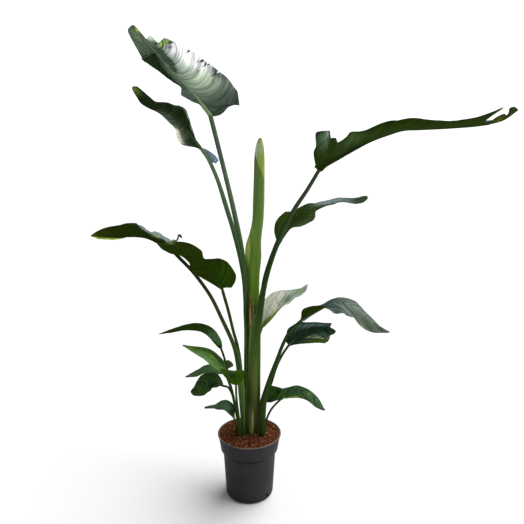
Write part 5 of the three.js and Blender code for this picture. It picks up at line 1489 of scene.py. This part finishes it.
def make_soil():
    """A disc of lumpy soil on a polar grid, then a skirt down the pot's wall to a flat underside."""
    turn = full_turn(SOIL_SIDES)
    radius = np.linspace(POLE_RADIUS, SOIL_EDGE, SOIL_RINGS)[:, None]
    x, y = radius * np.cos(turn), radius * np.sin(turn)
    top = np.stack([x, y, soil_height(x, y)], axis=-1)
    floor_reach, underside = BODY_FOOT_RADIUS - FOOT_ROUNDING, WALL + SOIL_GAP
    skirt = [
        [COLLAR_FOOT_RADIUS - WALL - SOIL_GAP, COLLAR_FOOT_HEIGHT + COLLAR_EDGE],
        [BODY_TOP_RADIUS - WALL - SOIL_GAP, NECK_HEIGHT], [floor_reach - WALL, FOOT_ROUNDING],
        [floor_reach, underside], [POLE_RADIUS, underside],
    ]
    points = np.concatenate([top, turned_grid(skirt, turn)])
    surface = Surface()
    quads = grid_quads(len(points), SOIL_SIDES, closed=True)[:, ::-1]
    surface.add(points, quads, points[..., :2], colour(*SOIL_TINT), 0)
    return make_piece("potting_soil", surface, ["soil_mix"])


def scattered(count, draw):
    """Places on the soil, even over the disc, and the soil's height there."""
    radius = np.sqrt(draw.uniform(0, SPREAD, count)) * SOIL_EDGE
    turn = draw.uniform(0, 2 * np.pi, count)
    x, y = radius * np.cos(turn), radius * np.sin(turn)
    return x, y, soil_height(x, y)


def kept_inside(points, gap):
    """Points drawn in towards the middle where they come nearer than gap to the soil's edge."""
    reach = np.hypot(points[..., 0], points[..., 1])
    share = np.minimum(1, (SOIL_EDGE - gap) / np.maximum(reach, 1))[..., None]
    return np.concatenate([points[..., :2] * share, points[..., 2:]], axis=-1)


def make_scraps(name, points, faces, tints, shade, sharp_angle):
    """One piece from many copies of a small mesh, as rows of points, each with a tint of its own."""
    count, corners = points.shape[:2]
    quads = (faces[None] + corners * np.arange(count)[:, None, None]).reshape(-1, 4)
    tint = np.repeat(between(tints, shade[:, None])[:, None], corners, axis=1)
    surface = Surface()
    surface.add(points, quads, np.zeros(2), tint, 0)
    return make_piece(name, surface, ["dry_fibre"], sharp_angle)


def make_fibres():
    """Coconut fibres: three-sided threads along short arcs that arch out of the soil. A thread's
    middle stands up and both its ends dip in, as the square of the way from its middle."""
    draw = np.random.default_rng(SEED + 1)
    x, y, z = scattered(FIBRES, draw)
    length = draw.uniform(*FIBRE_LENGTHS, FIBRES)[:, None]
    turn = draw.uniform(0, 2 * np.pi, FIBRES)[:, None]
    curl = draw.normal(0, FIBRE_CURL, FIBRES)[:, None]
    arch = draw.uniform(*FIBRE_ARCHES, FIBRES)[:, None]
    thick = draw.uniform(*FIBRE_RADII, FIBRES)[:, None]
    s = np.linspace(-0.5, 0.5, FIBRE_ROWS)
    heading = turn + curl * s
    px = x[:, None] + length * s * np.cos(heading)
    py = y[:, None] + length * s * np.sin(heading)
    pz = z[:, None] + arch * (1 - FIBRE_DIP * s**2) + FIBRE_LIFT
    centre = kept_inside(np.stack([px, py, pz], axis=-1), FIBRE_EDGE_GAP)[:, :, None]
    across = np.stack([-np.sin(heading), np.cos(heading), np.zeros_like(heading)], axis=-1)[:, :, None]
    rim = full_turn(FIBRE_SIDES)
    taper = (thick * (1 - FIBRE_TAPER * s**2))[..., None]
    side = (taper * np.cos(rim))[..., None] * across
    up = (taper * np.sin(rim))[..., None] * np.array([0, 0, 1.0])
    points = (centre + side + up).reshape(FIBRES, -1, 3)
    faces = grid_quads(FIBRE_ROWS, FIBRE_SIDES, closed=True)
    shade = draw.uniform(0, 1, FIBRES) ** FIBRE_DARKNESS
    return make_scraps("coir_fibres", points, faces, FIBRE_TINTS, shade, sharp_angle=60)


def make_chips():
    """Bark and husk chips: flat lozenges with uneven corners, tilted at random on the soil."""
    draw = np.random.default_rng(SEED + 2)
    x, y, z = scattered(CHIPS, draw)
    size = draw.uniform(*CHIP_SIZES, CHIPS)
    corners = np.array([[-1, -1], [1, -1], [1, 1], [-1, 1]]) * [1, CHIP_SLIMNESS]
    uneven = corners[None] * draw.uniform(*CHIP_UNEVENNESS, (CHIPS, 4, 2)) * size[:, None, None]
    turn = draw.uniform(0, 2 * np.pi, CHIPS)[:, None]
    long_side, short_side = uneven[..., 0], uneven[..., 1]
    flat_x = long_side * np.cos(turn) - short_side * np.sin(turn)
    flat_y = long_side * np.sin(turn) + short_side * np.cos(turn)
    flat = np.stack([flat_x, flat_y], axis=-1)
    rise = np.sum(flat * draw.normal(0, CHIP_TILT, (CHIPS, 1, 2)), axis=-1)
    centre = np.stack([x, y, z + CHIP_LIFT], axis=-1)[:, None]
    plate = np.concatenate([flat, rise[..., None]], axis=-1)
    thick = draw.uniform(*CHIP_THICKNESSES, CHIPS)[:, None, None] * np.array([0, 0, 1.0])
    top = centre + plate * [CHIP_TOP_SHARE, CHIP_TOP_SHARE, 1] + thick
    points = kept_inside(np.concatenate([centre + plate - thick, top], axis=1), CHIP_EDGE_GAP)
    faces = np.array([[3, 2, 1, 0], [4, 5, 6, 7], [0, 1, 5, 4], [1, 2, 6, 5], [2, 3, 7, 6], [3, 0, 4, 7]])
    shade = draw.uniform(0, 1, CHIPS) ** CHIP_DARKNESS
    return make_scraps("bark_chips", points, faces, CHIP_TINTS, shade, sharp_angle=30)


# The rolled leaf's route, as [x, y, z, half width, half thickness].
SPEAR_ROUTE = [
    [*on_trunk(0, 0, 150), 16, 15], [*on_trunk(0, 0, 400), 18, 17], [*on_trunk(0, 0, 620), 21, 16],
    [16, 8, 761, 22, 13], [16, 8, 854, 24, 13], [16, 6, 916, 30, 13], [17, 5, 959, 29, 13],
    [25, 4, 1002, 23, 14], [33, 3, 1052, 21, 14], [36, 2, 1122, 21, 13], [38, 1, 1208, 20, 12],
    [39, 1, 1276, 18, 9], [41, 0, 1315, 12, 5], [42, 0, 1333, 5, 2],
]
# Where the roll's outer edge lies, as [height, angle], and strokes for the roll and for its drier tip,
# which starts where that edge crosses the front. Strokes are as for the leaves, with heights for
# stations.
SPEAR_EDGE = ((170, 60), (900, 60), (980, 120), (1200, 100), (1280, 40), (1333, -40))
SPEAR_STROKES = [
    [960, -0.7, 60, 0.4, 1.4, 176, 204, 104], [880, 0, 90, 0.6, 0.7, 114, 150, 54],
    [800, 0.3, 70, 0.5, 0.8, 104, 142, 34], [1120, 0.2, 80, 0.5, 0.5, 96, 124, 72],
    [1200, -0.5, 50, 0.4, 0.7, 92, 118, 84], [640, 0, 90, 1, 0.6, 98, 108, 44],
    [1050, 0.9, 160, 0.2, 0.7, 122, 150, 84], [1000, -0.72, 13, 0.07, 1.3, 62, 86, 36],
    [980, -0.4, 16, 0.07, 1.3, 62, 86, 36], [950, -0.14, 24, 0.05, 1.3, 62, 88, 34],
    [905, -0.3, 24, 0.05, 1.2, 62, 88, 30], [862, -0.58, 24, 0.06, 1.1, 60, 84, 26],
]
# The second tip stroke, bluish white on the left, is a painted highlight.
SPEAR_TOP_STROKES = [
    [1310, 0, 26, 1.2, 1, 160, 180, 130], [1280, -0.8, 50, 0.3, 1.2, 176, 200, 178],
    [1333, 0, 12, 1.5, 1, 150, 150, 90],
]


def make_spear():
    """The newest leaf, rolled up: the stalk's rings, drawn in by a share that falls evenly round
    from the outer edge, which leaves a shallow step there. The edge winds round with height."""
    rows, upward = rooted_spline([stalk_row(*row) for row in SPEAR_ROUTE], STEPS_PER_SPAN)
    rings = ring_sections(rows, upward, SPEAR_FACING, SPEAR_SIDES)
    turn = full_turn(SPEAR_SIDES)
    edge = np.radians(np.interp(rows[:, 2], *zip(*SPEAR_EDGE)))
    past = (turn[None] - edge[:, None]) % (2 * np.pi)
    shrink = 1 - SPEAR_STEP * (1 - past / (2 * np.pi))
    centre = rows[:, None, :3]
    rings = closed_rings(centre + (rings - centre) * shrink[..., None], rows)
    height = rings[..., 2]
    across = np.broadcast_to(np.cos(turn), height.shape)
    below = painted(colour(*SPEAR_TINT), SPEAR_STROKES, height, across)
    above = painted(colour(*SPEAR_TOP_TINT), SPEAR_TOP_STROKES, height, across)
    # Painted shadow: the tint is darkened in a thin band along the roll's outer edge and just past its
    # step.
    past_line = smooth_step((height - SPEAR_EDGE_HEIGHT + SPEAR_EDGE_RISE * across) / SPEAR_EDGE_BLUR)
    near_step = SPEAR_STEP_SHADOW * np.exp(-((ends_doubled(past) / SPEAR_STEP_BLUR) ** 2))
    shade = SPEAR_EDGE_SHADOW * (past_line * (1 - past_line) + near_step)
    tint = (below + (above - below) * past_line[..., None]) * (1 - shade[..., None])
    travel = ends_doubled(travelled(rows[:, :3]))[:, None]
    round_it = SPEAR_MAP_GIRTH * turn[None] - SPEAR_MAP_LEAN * travel
    maps = np.stack(np.broadcast_arrays(travel, round_it), axis=-1)
    surface = Surface()
    surface.add(rings, grid_quads(len(rings), SPEAR_SIDES, closed=True), maps, tint, 0)
    return make_piece("rolled_leaf", surface, ["stalk_skin"])


# Threads of the dry sheath: between which angles and which top heights they lie, and how many.
DRY_THREADS = (((-22, -9), (735, 815), 10), ((5, 12), (725, 790), 6), ((-8, 4), (690, 712), 5))


def dry_route(turn, spread, thickness, top, ring):
    """A strip's route up the trunk. It sways as a sine of its height, and narrows near its top."""
    route = []
    for height in np.linspace(DRY_FOOT, top, DRY_ROWS):
        cup = INNER_RING * trunk_draw(height)
        half = cup * math.radians(spread) * min(1, (top - height) / DRY_TIP_LENGTH + DRY_TIP_SHARE)
        sway = THREAD_SWAY * math.sin(height / THREAD_SWAY_HEIGHT + turn)
        route.append(stalk_row(*on_trunk(DRY_FACING + turn + sway, ring, height), half, thickness, cup))
    return route


def make_dead_sheath():
    """A dry strip of an old base: a flat bent strip, and frayed threads that run on past it."""
    draw = np.random.default_rng(SEED + 3)
    threads = [
        (draw.uniform(*turns), draw.uniform(*THREAD_SPREADS), THREAD_THICKNESS, draw.uniform(*tops))
        for turns, tops, count in DRY_THREADS
        for _ in range(count)
    ]
    shades = [DRY_STRIP_SHADE, *(draw.uniform(0, 1) ** THREAD_DARKNESS for _ in threads)]
    routes = [dry_route(*DRY_STRIP, INNER_RING), *(dry_route(*thread, THREAD_RING) for thread in threads)]
    surface = Surface()
    for route, shade in zip(routes, shades):
        rows, upward = rooted_spline(route, DRY_STEPS)
        tints = np.broadcast_to(between(DRY_TINTS, shade), (len(rows), STALK_SIDES, 3))
        add_tube(surface, rows, upward, DRY_FACING, tints, 0)
    return make_piece("dry_sheath", surface, ["dry_leaf"])


def make_leaf(name, leaf, seed):
    """One leaf from its table: its blade, its lobe if it has one, and its stalk."""
    surface = Surface()
    add_blade(surface, leaf, seed)
    if "lobe" in leaf:
        add_blade(surface, leaf["lobe"], seed + 2)
    add_stalk(surface, leaf)
    kind = "_bold" if "bold" in leaf else ""
    finishes = ["leaf_upper" + kind, "leaf_under" + kind, "stalk_skin"]
    return make_piece(name.replace("leaf_", "fine_leaf_"), surface, finishes)


def settle(piece, node):
    """The piece rides on the plant's one body and stands for its node, which is hidden."""
    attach(piece, "root")
    if node:
        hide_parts(node)


for number, (name, leaf) in enumerate(LEAVES.items()):
    settle(make_leaf(name, leaf, SEED + 10 * number), name)
OTHERS = {"leaf_spear": make_spear, "dead_sheath": make_dead_sheath, "pot": make_pot, "soil": make_soil}
for node, make in OTHERS.items():
    settle(make(), node)
for make in (make_fibres, make_chips):
    settle(make(), None)


def make_studio():
    """A white floor, a white world, and a wide low sun from the right and a little behind."""
    scene = bpy.context.scene
    floor = bpy.data.meshes.new("studio_floor")
    reach = FLOOR_REACH
    corners = [(-reach, -reach, 0), (reach, -reach, 0), (reach, reach, 0), (-reach, reach, 0)]
    floor.from_pydata(corners, [], [(0, 1, 2, 3)])
    floor.materials.append(MATERIALS["studio_floor"])
    floor_object = bpy.data.objects.new("studio_floor", floor)
    scene.collection.objects.link(floor_object)
    world = bpy.data.worlds.new("studio")
    world.use_nodes = True
    scene.world = world
    tree = world.node_tree
    tree.nodes.clear()
    seen_directly = place(tree, "ShaderNodeLightPath").outputs["Is Camera Ray"]
    backdrop = place(tree, "ShaderNodeBackground", {"Color": (1, 1, 1, 1), "Strength": BACKDROP_LIGHT})
    light = place(tree, "ShaderNodeBackground", {"Color": WORLD_TINT, "Strength": WORLD_LIGHT})
    mix = {0: seen_directly, 1: light.outputs[0], 2: backdrop.outputs[0]}
    both = place(tree, "ShaderNodeMixShader", mix)
    place(tree, "ShaderNodeOutputWorld", {"Surface": both.outputs[0]})
    sun = bpy.data.lights.new("sun", "SUN")
    sun.energy = SUN_LIGHT
    sun.angle = math.radians(SUN_WIDTH)
    holder = bpy.data.objects.new("sun", sun)
    holder.rotation_euler = Vector(SUN_PLACE).to_track_quat("Z", "Y").to_euler()
    scene.collection.objects.link(holder)
    scene.view_settings.view_transform = "Standard"


def make_camera():
    """The camera stands in front of the plant, above its middle, and looks a little down."""
    scene = bpy.context.scene
    lens = bpy.data.cameras.new("camera")
    lens.lens, lens.sensor_width = LENS, FILM_WIDTH
    camera = bpy.data.objects.new("camera", lens)
    camera.location = [length * MM for length in CAMERA_PLACE]
    camera.rotation_euler = (math.radians(90 - CAMERA_DOWN), 0, 0)
    scene.collection.objects.link(camera)
    scene.camera = camera


make_studio()
make_camera()
bpy.context.view_layer.update()
